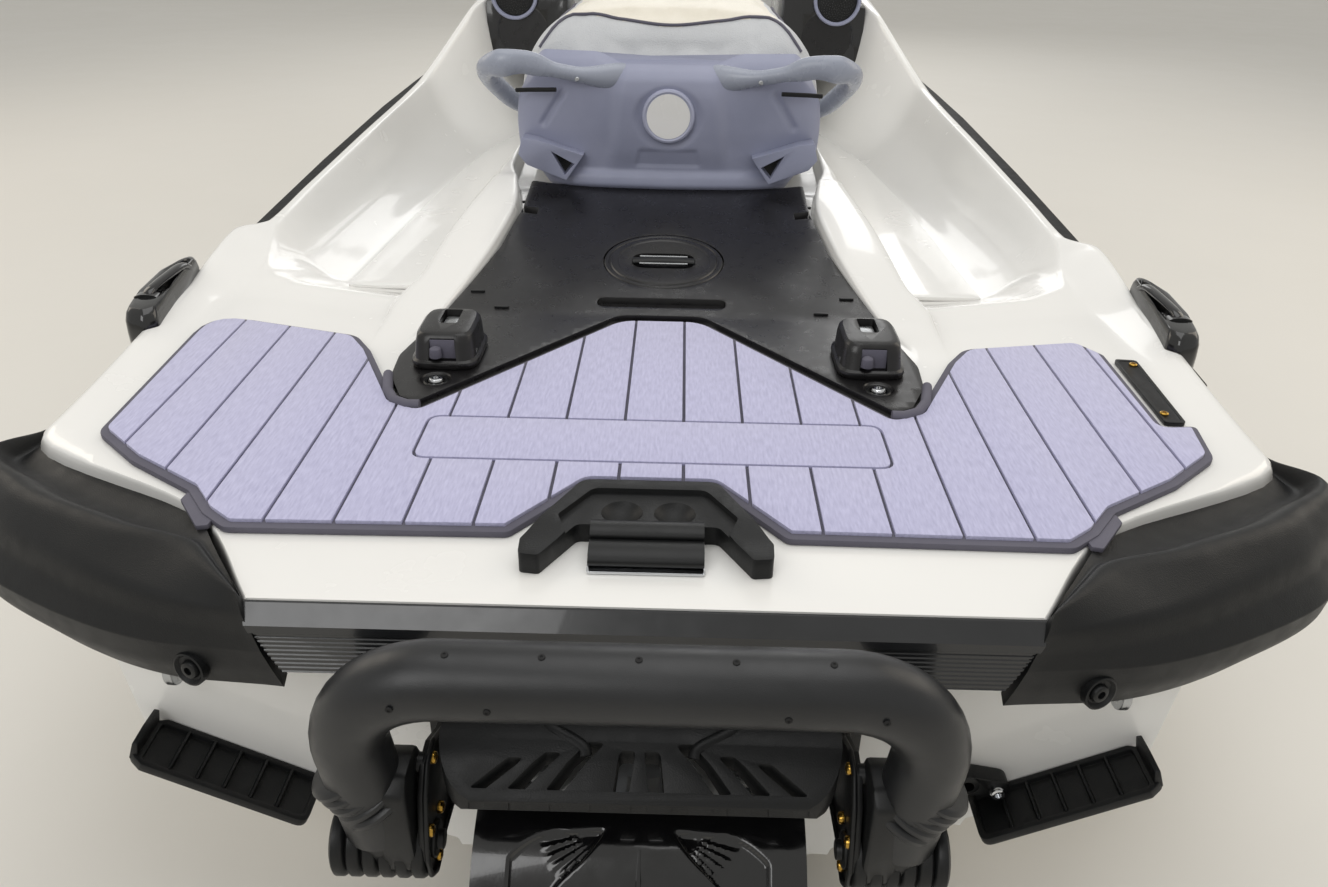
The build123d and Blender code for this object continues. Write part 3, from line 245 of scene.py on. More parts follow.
# %% Finishes on the solids
FINISH = {
    gelcoat: "hull_lower deck console front_cowl front_lid",
    gloss: "centre_plate deck_cap side_panels gauge reverse_gate mirrors",
    grained: "bumper_left bumper_right transom_trim cleats boarding_steps pump_cover sponsons tow_bracket",
    satin: "cargo_posts badge_plate glove_lid speakers steering_pad ladder_brackets",
    rubber: "rub_rail grips",
    foam: "ladder",
    tail_grey: "seat_tail grab_handles",
    vinyl: "driver_seat passenger_seat",
    eva: "platform_mat footwell_mats",
    alloy: "pump_housing nozzle ride_plate intake_grate",
    steel: "impeller bow_eye stern_eyes",
    coated: "handlebar",
    block: "engine_block",
}
for mat, names in FINISH.items():
    for name in names.split():
        node = nodes[name]
        node.data.materials.clear()
        node.data.materials.append(mat.m)
unfinished = set(nodes) - set(" ".join(FINISH.values()).split())
print("nodes", len(nodes), "without a finish", sorted(unfinished))

# %% [markdown]
# The camera stands behind and above the stern, at head height, as the photographer did. Its
# angles, place and focal length were solved from the mat's parallel seams and straight edges. It
# is built from three directions, which keeps the slight roll that a tripod would not have.

# %% Camera
PITCH, YAW, ROLL = (math.radians(a) for a in (29.306, 0.652, -1.057))
LENS = 27.57                                # mm, on a 36 mm wide sensor
CAMERA_PLACE = (0.0199, -2.1057, 0.672)     # metres
turn = Matrix.Rotation(YAW, 3, "Z")
right = turn @ Vector((1, 0, 0))
ahead = turn @ Vector((0, math.cos(PITCH), -math.sin(PITCH)))
down = turn @ Vector((0, -math.sin(PITCH), -math.cos(PITCH)))
tilted_right = math.cos(ROLL) * right + math.sin(ROLL) * down
tilted_down = -math.sin(ROLL) * right + math.cos(ROLL) * down
cam = bpy.data.objects.new("camera", bpy.data.cameras.new("camera"))
scene.collection.objects.link(cam)
axes = Matrix((tilted_right, -tilted_down, -ahead)).transposed()
cam.matrix_world = Matrix.Translation(CAMERA_PLACE) @ axes.to_4x4()
cam.data.lens = LENS
cam.data.sensor_width = 36
cam.data.clip_start = 0.01
scene.camera = cam

# %% [markdown]
# The floor is plain and pale, just under the keel, as the craft stands out of the water in the
# photo. Five large area lamps give the soft, broad reflections of a studio. The camera sees a
# plain backdrop in place of the sky's light, so the two can be set apart.

# %% Floor and light
FLOOR_Z = CAD_BOX[0].z - 0.002


def soft_light(name, place, target, size, power, tint="#FFFFFF"):
    data = bpy.data.lights.new(name, "AREA")
    data.size, data.energy, data.color = size, power, rgb(tint)[:3]
    lamp = bpy.data.objects.new(name, data)
    scene.collection.objects.link(lamp)
    lamp.location = place
    lamp.rotation_euler = (Vector(target) - Vector(place)).to_track_quat("-Z", "Y").to_euler()


soft_light("overhead", (0.3, -0.9, 3.4), (0, -0.5, 0.2), 3.0, 40)
soft_light("camera_side", (-1.3, -3.6, 2.3), (0, -1.2, 0.1), 1.6, 24)
soft_light("starboard", (3.2, 0.2, 2.0), (0, -0.3, 0.3), 2.2, 24, "#FFF3E2")
soft_light("port", (-3.4, 0.8, 2.2), (0, -0.2, 0.3), 2.2, 24, "#FFF3E2")
soft_light("bow", (0.4, 4.2, 2.4), (0, 0.8, 0.3), 2.4, 34)
world = bpy.data.worlds.new("studio")
world.use_nodes = True
sky = world.node_tree
ambient = sky.nodes["Background"]
ambient.inputs[0].default_value = rgb("#E9E8E4")
ambient.inputs[1].default_value = 0.7
backdrop = add_node(sky, "ShaderNodeBackground", {"Color": rgb("#E4E2DD")})
ray = add_node(sky, "ShaderNodeLightPath")
either = add_node(sky, "ShaderNodeMixShader", {0: ray.outputs["Is Camera Ray"], 1: ambient.outputs[0],
                                               2: backdrop.outputs[0]})
sky.links.new(either.outputs[0], sky.nodes["World Output"].inputs[0])
scene.world = world
scene.view_settings.view_transform = "Standard"

FAR = 60             # metres from the middle to the floor's edge
floor_mesh = bpy.data.meshes.new("floor")
floor_mesh.from_pydata([(-FAR, -FAR, FLOOR_Z), (FAR, -FAR, FLOOR_Z), (FAR, FAR, FLOOR_Z),
                        (-FAR, FAR, FLOOR_Z)],
                       [], [(0, 1, 2, 3)])
floor = bpy.data.objects.new("floor", floor_mesh)
scene.collection.objects.link(floor)
# Sealed concrete: matt and nearly even, so that only the craft draws the eye
paving = Mat("floor_pale")
tinted(paving, paving.node("TexNoise", {"Vector": paving.place, "Scale": 1.2, "Detail": 4}), "#DAD7D0",
       "#DFDCD6")
paving.set(Roughness=patches(paving, 6, 0.3, 0.7, 0.5, 0.65))
floor.data.materials.append(paving.m)
print("floor at z", round(FLOOR_Z, 4))

# %% [markdown]
# Nearly every piece starts as a `Shape`: points in millimetres and faces, gathered before they
# become one mesh. A skin over rings is the root of it: a prism, a bar across the craft, a sweep
# along a path and a turned shape are all skins, so a few short methods cover moulded parts.

# %% Shapes, carving and finished pieces
class Shape:
    """Points (x, p, z) in millimetres and faces, with a material number for each face."""

    def __init__(self):
        self.points, self.faces, self.finish = [], [], []

    def add(self, points, faces, finish=0):
        start = len(self.points)
        self.points += [tuple(float(c) for c in q) for q in points]
        self.faces += [tuple(start + i for i in face) for face in faces]
        self.finish += [finish] * len(faces)
        return self

    def skin(self, rings, closed=True, caps=True, finish=0):
        n, m = len(rings), len(rings[0])
        span = m if closed else m - 1
        faces = [(i * m + j, i * m + (j + 1) % m, (i + 1) * m + (j + 1) % m, (i + 1) * m + j)
                 for i in range(n - 1) for j in range(span)]
        if caps:
            faces += [tuple(range(m)), tuple((n - 1) * m + j for j in reversed(range(m)))]
        return self.add([q for ring in rings for q in ring], faces, finish)

    def prism(self, outline, low, high, finish=0):
        """Upright prism over (x, p) points; low and high are heights or functions of x and p."""
        def level(z, x, p):
            return z(x, p) if callable(z) else z
        return self.skin([[(x, p, level(z, x, p)) for x, p in outline] for z in (low, high)], finish=finish)

    def across(self, profile, x0, x1, finish=0):
        """Prism across the craft over (p, z) points."""
        return self.skin([[(x, p, z) for p, z in profile] for x in (x0, x1)], finish=finish)

    def sweep(self, path, radii, sides=16, finish=0, caps=True, up=(0, 0, 1)):
        """Tube along a path. radii: one radius, (half-width, half-height), or a list of such pairs."""
        path = [Vector(q) for q in path]
        if not isinstance(radii, list):
            radii = [radii if isinstance(radii, tuple) else (radii, radii)] * len(path)
        side, rings = None, []
        for i, q in enumerate(path):
            ahead = (path[min(i + 1, len(path) - 1)] - path[max(i - 1, 0)]).normalized()
            if side is None:
                side = ahead.cross(Vector(up)).normalized()
            side = (side - ahead * side.dot(ahead)).normalized()
            top = side.cross(ahead)
            a, b = radii[i]
            rings.append([q + side * (a * math.cos(t)) + top * (b * math.sin(t))
                          for t in (2 * math.pi * k / sides for k in range(sides))])
        return self.skin(rings, caps=caps, finish=finish)

    def turned(self, start, axis, profile, sides=32, finish=0):
        """Solid of revolution: profile is (distance along the axis, radius)."""
        start, axis = Vector(start), Vector(axis).normalized()
        side = axis.orthogonal().normalized()
        other = axis.cross(side)
        rings = [[start + axis * d + (side * math.cos(t) + other * math.sin(t)) * r
                  for t in (2 * math.pi * k / sides for k in range(sides))] for d, r in profile]
        return self.skin(rings, finish=finish)

    def mirrored(self):
        """The same again on the port side."""
        finish = list(self.finish)
        self.add([(-x, p, z) for x, p, z in self.points], [tuple(reversed(face)) for face in self.faces])
        self.finish = finish * 2
        return self

    def mesh(self, name, merge=0.02):
        data = bpy.data.meshes.new(name)
        data.from_pydata([pt(*q) for q in self.points], [], self.faces)
        data.polygons.foreach_set("material_index", self.finish)
        work = bmesh.new()
        work.from_mesh(data)
        bmesh.ops.remove_doubles(work, verts=work.verts, dist=merge / 1000)
        bmesh.ops.dissolve_degenerate(work, edges=work.edges, dist=1e-6)
        bmesh.ops.recalc_face_normals(work, faces=work.faces)
        work.to_mesh(data)
        work.free()
        return data


def linked(name, shape):
    """A new object in the scene, from a Shape or a mesh."""
    ob = bpy.data.objects.new(name, shape.mesh(name) if isinstance(shape, Shape) else shape)
    scene.collection.objects.link(ob)
    return ob


def joined(name, meshes):
    """One new mesh from several."""
    work = bmesh.new()
    for data in meshes:
        work.from_mesh(data)
    whole = bpy.data.meshes.new(name)
    work.to_mesh(whole)
    work.free()
    return whole


def evaluated(ob):
    """The object's mesh with its modifiers worked in, as plain data."""
    data = bpy.data.meshes.new_from_object(ob.evaluated_get(bpy.context.evaluated_depsgraph_get()))
    ob.modifiers.clear()
    ob.data = data
    return ob


def carve(ob, shape, operation="DIFFERENCE"):
    """Cuts the shape out of the object, or keeps only what they share."""
    tool = linked("tool", shape)
    cut = ob.modifiers.new("cut", "BOOLEAN")
    cut.object, cut.operation, cut.solver = tool, operation, "EXACT"
    bpy.context.view_layer.update()
    evaluated(ob)
    bpy.data.objects.remove(tool)
    return ob


def sharp(ob, degrees):
    """Shades smooth but for edges that turn by more than the angle."""
    ob.data.shade_smooth()
    ob.data.set_sharp_from_angle(angle=math.radians(degrees))
    return ob


def soften(ob, width, steps=2, degrees=28):
    """Rounds the edges that turn by more than the angle; width in millimetres."""
    bevel = ob.modifiers.new("edges", "BEVEL")
    bevel.width, bevel.segments, bevel.limit_method = width / 1000, steps, "ANGLE"
    bevel.angle_limit = math.radians(degrees)
    bevel.harden_normals = False
    return ob


def piece(shape, name, mats, body, slot, *replaced, turn_sharp=38, edge=0.0, keep=None, cuts=()):
    """A finished object: mesh, carving, edges, materials, and its place in the frame.

    keep is a shape outside which nothing stays; edge is the rounding's width in millimetres.
    """
    ob = linked(name, shape)
    if keep is not None:
        carve(ob, keep, "INTERSECT")
    for tool in cuts:
        carve(ob, tool)
    ob.data.materials.clear()
    for mat in mats if isinstance(mats, (list, tuple)) else [mats]:
        ob.data.materials.append(mat.m)
    if edge:
        soften(ob, edge)
        bpy.context.view_layer.update()
        evaluated(ob)
    sharp(ob, turn_sharp)
    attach(ob, body)
    if replaced:
        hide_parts(*replaced)
    return ob


# %% [markdown]
# A hull is drawn by few sections. Their corners run fore and aft on smooth lines, and each
# corner is rolled as a mould would roll it. `Sections` reads a short table on curves that never
# overshoot, `rolled` rounds an open outline and `fillet` a closed one.

# %% Sections and rounded outlines
class Sections:
    """A short table, its first column p. at(p) gives the others on smooth curves."""

    def __init__(self, rows):
        table = np.array(rows, float)
        self.p, self.v = table[:, 0], table[:, 1:]
        slope = np.diff(self.v, axis=0) / np.diff(self.p)[:, None]
        before, after = slope[:-1], slope[1:]
        same = before * after > 0
        mean = 2 * before * after / np.where(same, before + after, 1)
        self.m = np.vstack([slope[:1], np.where(same, mean, 0), slope[-1:]])

    def at(self, p):
        i = int(np.clip(np.searchsorted(self.p, p, "right") - 1, 0, len(self.p) - 2))
        h = self.p[i + 1] - self.p[i]
        t = np.clip((p - self.p[i]) / h, 0, 1)
        return ((2 * t**3 - 3 * t**2 + 1) * self.v[i] + (t**3 - 2 * t**2 + t) * h * self.m[i]
                + (3 * t**2 - 2 * t**3) * self.v[i + 1] + (t**3 - t**2) * h * self.m[i + 1])


def bend(a, b, c, cut, steps):
    """Points on the short curve that takes the corner b, from cut before it to cut after it."""
    a, b, c = (np.array(q, float) for q in (a, b, c))
    back, on = np.linalg.norm(a - b), np.linalg.norm(c - b)
    start = b + (a - b) * min(cut / max(back, 1e-6), 0.48)
    end = b + (c - b) * min(cut / max(on, 1e-6), 0.48)
    return [tuple((1 - t) ** 2 * start + 2 * t * (1 - t) * b + t**2 * end)
            for t in (k / steps for k in range(steps + 1))]


def rolled(points, cuts, steps=4):
    """Open outline whose inner corners are rounded, each by its own cut."""
    out = [tuple(points[0])]
    for i in range(1, len(points) - 1):
        out += bend(points[i - 1], points[i], points[i + 1], cuts[i - 1], steps)
    return out + [tuple(points[-1])]


def fillet(corners, steps=5):
    """Closed outline from (x, p, radius) corners."""
    out = []
    for i, (x, p, radius) in enumerate(corners):
        before, after = corners[i - 1][:2], corners[(i + 1) % len(corners)][:2]
        u, v = (Vector((q[0] - x, q[1] - p)).normalized() for q in (before, after))
        half = max(math.acos(max(-1, min(1, u.dot(v)))) / 2, 0.05)
        out += bend(before, (x, p), after, radius / math.tan(half) if half < 1.56 else 0.01, steps)
    return out


def both_sides(half):
    """A closed ring from one half, whose first and last points are on the centreline."""
    return half + [(-x, p, z) for x, p, z in reversed(half[1:-1])]


def spaced(p0, p1, step):
    """Even places from p0 to p1, as near to the step as they divide."""
    n = max(2, int(round(abs(p1 - p0) / step)))
    return [p0 + (p1 - p0) * k / n for k in range(n + 1)]


def smooth(t):
    """Eases from 0 to 1 while t goes from 0 to 1."""
    t = min(max(t, 0.0), 1.0)
    return t * t * (3 - 2 * t)


# %% [markdown]
# The upper moulding: platform, gunwales, footwells and the nose are one gelcoat moulding on the
# real craft, parted only where console and cowl bolt on. Columns: p, half-breadth at the bond
# line, gunwale half-breadth and height, shoulder half-breadth and height, crown height.

# %% Upper moulding
DECK_Z = 190.0                                  # flat of the swim platform
SEAT_P, COWL_P, BOW_P = 2150.0, 2478.0, 3425.0  # where seat, console and cowl end
PLATE_BEND, PLATE_T = 550.0, 11.0               # the plate's bend line and its thickness
PLATE_SLOPE = math.tan(math.radians(7))


def bond(p):
    """Height of the bond line between hull and deck."""
    return 130 + 0.0583 * p


def plate_z(p):
    """Height of the bed under the middle plate."""
    return DECK_Z + PLATE_SLOPE * max(p - PLATE_BEND, 0)


UPPER = Sections([
    (0, 305, 303, 190, 250, 190, 190), (113, 385, 383, 190, 330, 190, 190),
    (256, 607, 597, 191, 548, 190, 190), (550, 617, 600, 212, 552, 190, 190),
    (640, 617, 600, 228, 545, 201, 201), (711, 616, 598, 237, 540, 210, 210),
    (785, 613, 566, 232, 520, 219, 219), (957, 607, 558, 243, 400, 240, 240),
    (1200, 598, 545, 262, 400, 262, 262), (1560, 585, 520, 293, 400, 293, 293),
    (1765, 570, 440, 415, 300, 428, 430), (2000, 548, 430, 442, 300, 522, 540),
    (2250, 515, 410, 458, 260, 598, 620), (2500, 468, 375, 464, 230, 602, 632),
    (2800, 388, 310, 458, 190, 562, 592), (3050, 300, 235, 442, 140, 512, 532),
    (3250, 205, 150, 415, 90, 455, 468), (3370, 115, 78, 385, 45, 405, 410),
    (3425, 34, 20, 350, 10, 356, 358)])
# Footwell. Columns: p, inner edge, floor, floor's outer edge, middle of the wall, top of the wall
WELL = Sections([
    (575, 332, 206, 470, 488, 208, 505), (650, 312, 176, 476, 515, 192, 535),
    (770, 298, 142, 462, 518, 178, 552), (1200, 240, 142, 440, 502, 188, 531),
    (1560, 234, 146, 400, 472, 210, 506), (1765, 232, 154, 340, 400, 290, 426),
    (1955, 232, 202, 300, 350, 300, 376)])
# Inner rail beside plate and seat. Columns: p, its inner edge, how far it stands over the plate's bed
RAIL = Sections([(0, 293, 0), (470, 293, 0), (560, 264, 10), (724, 225, 25), (850, 214, 27),
                 (950, 226, 27), (1000, 238, 30), (1160, 240, 26), (1250, 236, 0), (2150, 236, 0)])
WELL_END = (1955, 1990)


def deck_half(p):
    """Right half of the moulding's section at p, from the crown outwards to the bond line."""
    rail, gunwale, height, shoulder, shoulder_z, crown = UPPER.at(p)
    inner, floor, floor_out, mid, mid_z, edge = WELL.at(min(max(p, 575), WELL_END[0]))
    bed, lift = RAIL.at(p)
    bed_z = plate_z(p) if p < 957 else crown - 4
    if p > 1560:
        bed_z = 289 + (p - 1560) * 11 / 590
    low = smooth((p - 545) / 110) * (1 - smooth((p - WELL_END[0]) / (WELL_END[1] - WELL_END[0])))

    def top(x):
        """Height of the moulding before the wells are sunk into it."""
        if x < shoulder:
            return crown + (shoulder_z - crown) * x / shoulder
        return shoulder_z + (height - shoulder_z) * min((x - shoulder) / max(gunwale - shoulder, 1), 1)

    if p < 1250:
        rail_z = bed_z + lift
    else:
        rail_z = bed_z + (top(inner) - bed_z) * smooth((p - WELL_END[0]) / (WELL_END[1] - WELL_END[0]))
    edge = min(edge, gunwale - 12)
    mid, floor_out = min(mid, edge - 6), min(floor_out, edge - 12)
    inner = min(max(inner, bed + 5), floor_out - 14)
    bed = min(bed, inner - 5)
    sunk = [(inner + 6, floor), (floor_out, floor), (mid, mid_z)]
    sunk = [(x, top(x) + (min(z, top(x)) - top(x)) * low) for x, z in sunk]
    step = max(shoulder, edge + 5) if p < 900 else edge + 5
    points = [(0, bed_z), (bed, bed_z), (bed + 4, rail_z), (inner, rail_z), *sunk, (edge, top(edge)),
              (min(step, gunwale - 5), top(min(step, gunwale - 5))), (gunwale, height), (rail, bond(p) + 3),
              (rail, bond(p))]
    cuts = [2, 5, 16, 26, 26, 60, 9, 12, 14, 3]
    return rolled(points, cuts)


def slanted(x, p):
    """The wells' rear rim runs aslant: further ahead at its outer end."""
    return p + 48 * smooth((abs(x) - 300) / 220) * smooth((p - 500) / 60) * smooth((860 - p) / 160)


def under_half(p):
    """Lower side of the same section: flat at the bond line, with the tubs hung below it."""
    inner, floor, floor_out, mid = WELL.at(min(max(p, 575), WELL_END[0]))[:4]
    rail = UPPER.at(p)[0]
    deep = smooth((p - 590) / 60) * (1 - smooth((p - 1930) / 55))
    low = bond(p) + (min(floor - 22, bond(p)) - bond(p)) * deep
    out = min(mid + 14, rail - 8)
    return [(rail - 3, bond(p)), (out, bond(p)), (out, low), (inner - 18, low), (inner - 18, bond(p)),
            (0, bond(p))]


stations = (spaced(0, 256, 16) + spaced(262, 540, 14) + spaced(546, 900, 6) + spaced(910, 1920, 14)
            + spaced(1926, 1996, 5) + spaced(2006, SEAT_P - 0.3, 16))
rings = []
for p in stations:
    half = [(x, slanted(x, p), z) for x, z in deck_half(p) + under_half(p)]
    rings.append(both_sides(half))
deck_shape = Shape().skin(rings)
COWL_LIFT = 45.0


def body_half(p, lift):
    """Half section of console and cowl, down to the seam that is lift over the bond line."""
    rail, gunwale, height, shoulder, shoulder_z, crown = UPPER.at(p)
    seam = bond(p) + lift
    side = rail + (gunwale - rail) * lift / (height - bond(p))
    points = [(0, crown), (shoulder, shoulder_z), (gunwale, height), (side, seam), (0, seam)]
    return rolled(points, [90, 40, 2])


slab = []
for p in spaced(SEAT_P, BOW_P, 22):
    rail, gunwale, height = UPPER.at(p)[:3]
    side = rail + (gunwale - rail) * COWL_LIFT / (height - bond(p))
    half = [(0, p, bond(p) + COWL_LIFT)] + [(x, p, z) for x, z in rolled(
        [(0, bond(p) + COWL_LIFT), (side, bond(p) + COWL_LIFT), (rail, bond(p) + 3), (rail, bond(p))],
        [6, 3])[1:]] + [(0, p, bond(p))]
    slab.append(both_sides(half))
deck_shape.skin(slab)
deck = piece(deck_shape, "deck_moulding", gelcoat, "hull", "deck_gelcoat", "deck")
print("deck triangles", sum(len(f.vertices) - 2 for f in deck.data.polygons))


# %% [markdown]
# The lower hull is a vee with two sharp spray strakes on each side. Rings across the craft
# carry the strakes along as extra corners. The pump's tunnel, the intake and the room for bumpers
# and footwells are carved after.

# %% Lower hull
HULL = Sections([
    (80, -240, 415, -81, 458, -76, 480), (300, -240, 430, -78, 474, -72, 602),
    (1200, -240, 430, -76, 478, -68, 598), (2000, -234, 400, -58, 446, -44, 548),
    (2500, -215, 322, -18, 366, 0, 468), (2900, -150, 226, 48, 262, 68, 358),
    (3200, -40, 122, 140, 146, 158, 232), (3350, 90, 54, 215, 68, 228, 134),
    (3425, 262, 14, 290, 18, 298, 34)])


def hull_half(p):
    """Right half of the hull's section at p, from the keel out to the bond line."""
    keel, inner, inner_z, outer, outer_z, rail = HULL.at(p)
    fade = smooth((3300 - p) / 500)
    points, cuts = [(0, keel)], []
    for share in (0.4, 0.7):
        x, z = share * inner, keel + share * (inner_z - keel)
        points += [(x, z), (x + 16 * fade, z - 1 * fade),
                   (x + 19 * fade, z + 9 * fade * (inner_z - keel) / 160)]
        cuts += [3, 1, 3]
    points += [(inner, inner_z), (outer, outer_z), (rail, bond(p)), (0, bond(p))]
    return rolled(points, cuts + [8, 10, 1], 3)


rings = [both_sides([(x, p, z) for x, z in hull_half(p)])
         for p in spaced(80, 340, 20) + spaced(360, BOW_P, 22)]
JET_Z = -100.0
tunnel = Shape().prism([(-150, 60), (150, 60), (150, 262), (-150, 262)], -300, 15)
intake = Shape().across([(255, -28), (400, -40), (470, -80), (690, -262), (690, -300), (335, -300),
                         (335, -172), (255, -172)], -78, 78)
pockets = Shape().prism([(346.7, 57.3), (385.7, 113.3), (492.7, 183.3), (601.7, 256.3), (700, 345),
                         (700, -60), (345, -60)], 94.7, 150).mirrored()
tubs = []
for p in spaced(596, 1988, 16):
    under = under_half(p)
    (out, low), (inner, low) = under[2], under[3]
    tubs.append([(inner - 0.5, p, low - 0.5), (out + 0.5, p, low - 0.5), (out + 0.5, p, 400),
                 (inner - 0.5, p, 400)])
tubs = Shape().skin(tubs).mirrored()
hull = piece(Shape().skin(rings), "hull_moulding", gelcoat, "hull", "hull_gelcoat", "hull_lower",
             cuts=[tunnel, intake, pockets, tubs])
print("hull triangles", sum(len(f.vertices) - 2 for f in hull.data.polygons))

# %% [markdown]
# Console, front cowl and the two lids are cut from one surface, so their seams line up. A lid is
# that surface inside its outline, with the real thickness; a column sunk to just below it makes
# its recess.

# %% Console, cowl and lids
LID = [(0, 2545), (212, 2545), (200, 2650), (178, 2800), (118, 3055), (0, 3055)]
GLOVE = [(0, 2168), (98, 2168), (104, 2285), (0, 2285)]


def crown_at(x, p):
    """Height of the upper moulding over (x, p), ahead of the seat."""
    half = [q for q in body_half(p, COWL_LIFT) if q[1] > bond(p) + COWL_LIFT + 1]
    return float(np.interp(abs(x), [q[0] for q in half], [q[1] for q in half]))


def lid_width(outline, p):
    """Half-width of a lid's outline at p."""
    return float(np.interp(p, [q[1] for q in outline[1:-1]], [q[0] for q in outline[1:-1]]))


def lid_sheet(outline, top, bottom, grow=0.0, grow_p=0.0, across=13, step=14):
    """Closed sheet over the outline, from bottom to top, both measured from the moulding's skin."""
    p0, p1 = outline[0][1] - grow_p, outline[-1][1] + grow_p
    rings = []
    for p in spaced(p0, p1, step):
        half = lid_width(outline, p) + grow
        xs = [half * (2 * k / across - 1) for k in range(across + 1)]
        upper = [(x, p, crown_at(x, p) + top) for x in xs]
        lower = [(x, p, crown_at(x, p) + bottom) for x in reversed(xs)]
        rings.append(upper + lower)
    return Shape().skin(rings)


def body_shape(p0, p1):
    """The solid of console or cowl from p0 to p1."""
    lift = COWL_LIFT + 0.3
    return Shape().skin([both_sides([(x, p, z) for x, z in body_half(p, lift)]) for p in spaced(p0, p1, 16)])


bin_hole = Shape().prism([(-165, 2600), (165, 2600), (165, 2960), (-165, 2960)], 150, 800)
glove_hole = Shape().prism([(-80, 2186), (80, 2186), (80, 2270), (-80, 2270)], 470, 800)
COLUMN_LEAN = math.radians(25)
tilt = Vector((0, -math.sin(COLUMN_LEAN), math.cos(COLUMN_LEAN)))
column = Vector((0, 2345, 642))
column_hole = Shape().turned(column - tilt * 80, tilt, [(0, 24.4), (120, 24.4)])
piece(body_shape(SEAT_P, COWL_P - 0.3), "console_moulding", gelcoat, "hull", "deck_gelcoat", "console",
      cuts=[glove_hole, lid_sheet(GLOVE, 60, -14.3, 9, 12.5), column_hole])
piece(body_shape(COWL_P, BOW_P), "cowl_moulding", gelcoat, "hull", "deck_gelcoat", "front_cowl",
      cuts=[bin_hole, lid_sheet(LID, 80, -20.3, 5, 5)])
piece(lid_sheet(LID, 0, -20), "front_lid_moulding", gelcoat, "front_lid", "deck_gelcoat", "front_lid",
      edge=3)
piece(lid_sheet(GLOVE, 0, -11, step=9), "glovebox_lid", satin, "glove_lid", "black_plastic", "glove_lid",
      edge=3)
collar = Shape().turned(column - tilt * 60, tilt, [(0, 72), (30, 68), (54, 62), (60, 56), (60, 25), (0, 25)],
                        40)
piece(collar, "column_collar", satin, "hull", "black_plastic")
print("console, cowl and lids in place")

# %% [markdown]
# The platform mat is closed-cell foam in two layers: lavender planks over a charcoal base that
# shows as the seams and as a border. The planks are one slab cut by a row of thin blades. The
# row repeats at a fixed pitch, so Geometry Nodes make the blades and do the cutting.

# %% Geometry Nodes trees and the mat
class Tree:
    """A Geometry Nodes tree with named inputs, built by code."""

    def __init__(self, name, **inputs):
        self.t = bpy.data.node_groups.new(name, "GeometryNodeTree")
        self.t.interface.new_socket("Geometry", in_out="INPUT", socket_type="NodeSocketGeometry")
        self.ids = {}
        for key, value in inputs.items():
            kinds = {int: "NodeSocketInt", float: "NodeSocketFloat"}
            kind = kinds.get(type(value), "NodeSocketVector")
            socket = self.t.interface.new_socket(key, in_out="INPUT", socket_type=kind)
            socket.default_value = value
            self.ids[key] = socket.identifier
        self.t.interface.new_socket("Geometry", in_out="OUTPUT", socket_type="NodeSocketGeometry")
        self.given = self.t.nodes.new("NodeGroupInput")
        self.out = self.t.nodes.new("NodeGroupOutput")

    def node(self, kind, inputs=(), **settings):
        return add_node(self.t, kind, inputs, **settings)

    def end(self, source, material):
        """Realises the instances, gives them their material and closes the tree."""
        real = self.node("GeometryNodeRealizeInstances", {"Geometry": source})
        paint = self.node("GeometryNodeSetMaterial", {"Geometry": real.outputs[0], "Material": material.m})
        self.t.links.new(paint.outputs[0], self.out.inputs[0])
        return self

    def run(self, ob, **inputs):
        """Works the tree into the object's mesh; inputs are set by their sockets' identifiers."""
        modifier = ob.modifiers.new("nodes", "NODES")
        modifier.node_group = self.t
        for key, value in inputs.items():
            modifier[self.ids[key]] = value
        bpy.context.view_layer.update()
        return evaluated(ob)


PLANK_PITCH = 0.058      # metres from seam to seam, with 20 blades to cover the platform
SEAM_WIDTH = 0.0032
BLADES = 20
planks = Tree("plank_seams", Pitch=PLANK_PITCH, Seam=SEAM_WIDTH, Blades=BLADES, Middle=(0.0, 0.0, 0.0))
given = planks.given.outputs
blade_size = planks.node("ShaderNodeCombineXYZ", {"X": given["Seam"], "Y": 1.3, "Z": 0.02})
blade = planks.node("GeometryNodeMeshCube", {"Size": blade_size.outputs[0]})
along_row = planks.node("ShaderNodeCombineXYZ", {"X": given["Pitch"]})
half_row = planks.node("ShaderNodeMath", {0: given["Pitch"], 1: -(BLADES - 1) / 2}, operation="MULTIPLY")
row_start = planks.node("ShaderNodeCombineXYZ", {"X": half_row.outputs[0]})
placed_start = planks.node("ShaderNodeVectorMath", {0: row_start.outputs[0], 1: given["Middle"]},
                           operation="ADD")
row = planks.node("GeometryNodeMeshLine", {"Count": given["Blades"], "Offset": along_row.outputs[0],
                                           "Start Location": placed_start.outputs[0]})
many = planks.node("GeometryNodeInstanceOnPoints", {"Points": row.outputs[0], "Instance": blade.outputs[0]})
loose = planks.node("GeometryNodeRealizeInstances", {"Geometry": many.outputs[0]})
parted = planks.node("GeometryNodeMeshBoolean", {"Mesh 1": given["Geometry"], "Mesh 2": loose.outputs[0]},
                     operation="DIFFERENCE", solver="EXACT")
planks.end(parted.outputs[0], eva)

# Corners of the mat: (x, p, radius)
MAT_REAR = [(55, 165, 10), (115, 86, 10), (350, 83, 14), (376, 104, 20), (402, 138, 12), (476, 187, 20),
            (532, 238, 24)]
MAT_PORT = [(545, 536, 42)]
MAT_STARBOARD = [(543, 303, 6), (508, 300, 6), (511, 474, 10), (490, 509, 20)]
MAT_FRONT = [(352, 481, 34), (325, 440, 20), (267, 317, 8), (240, 302, 6), (50, 544, 45)]
mat_corners = (MAT_REAR + MAT_STARBOARD + MAT_FRONT
               + [(-x, p, r) for x, p, r in MAT_REAR + MAT_PORT + MAT_FRONT][::-1])


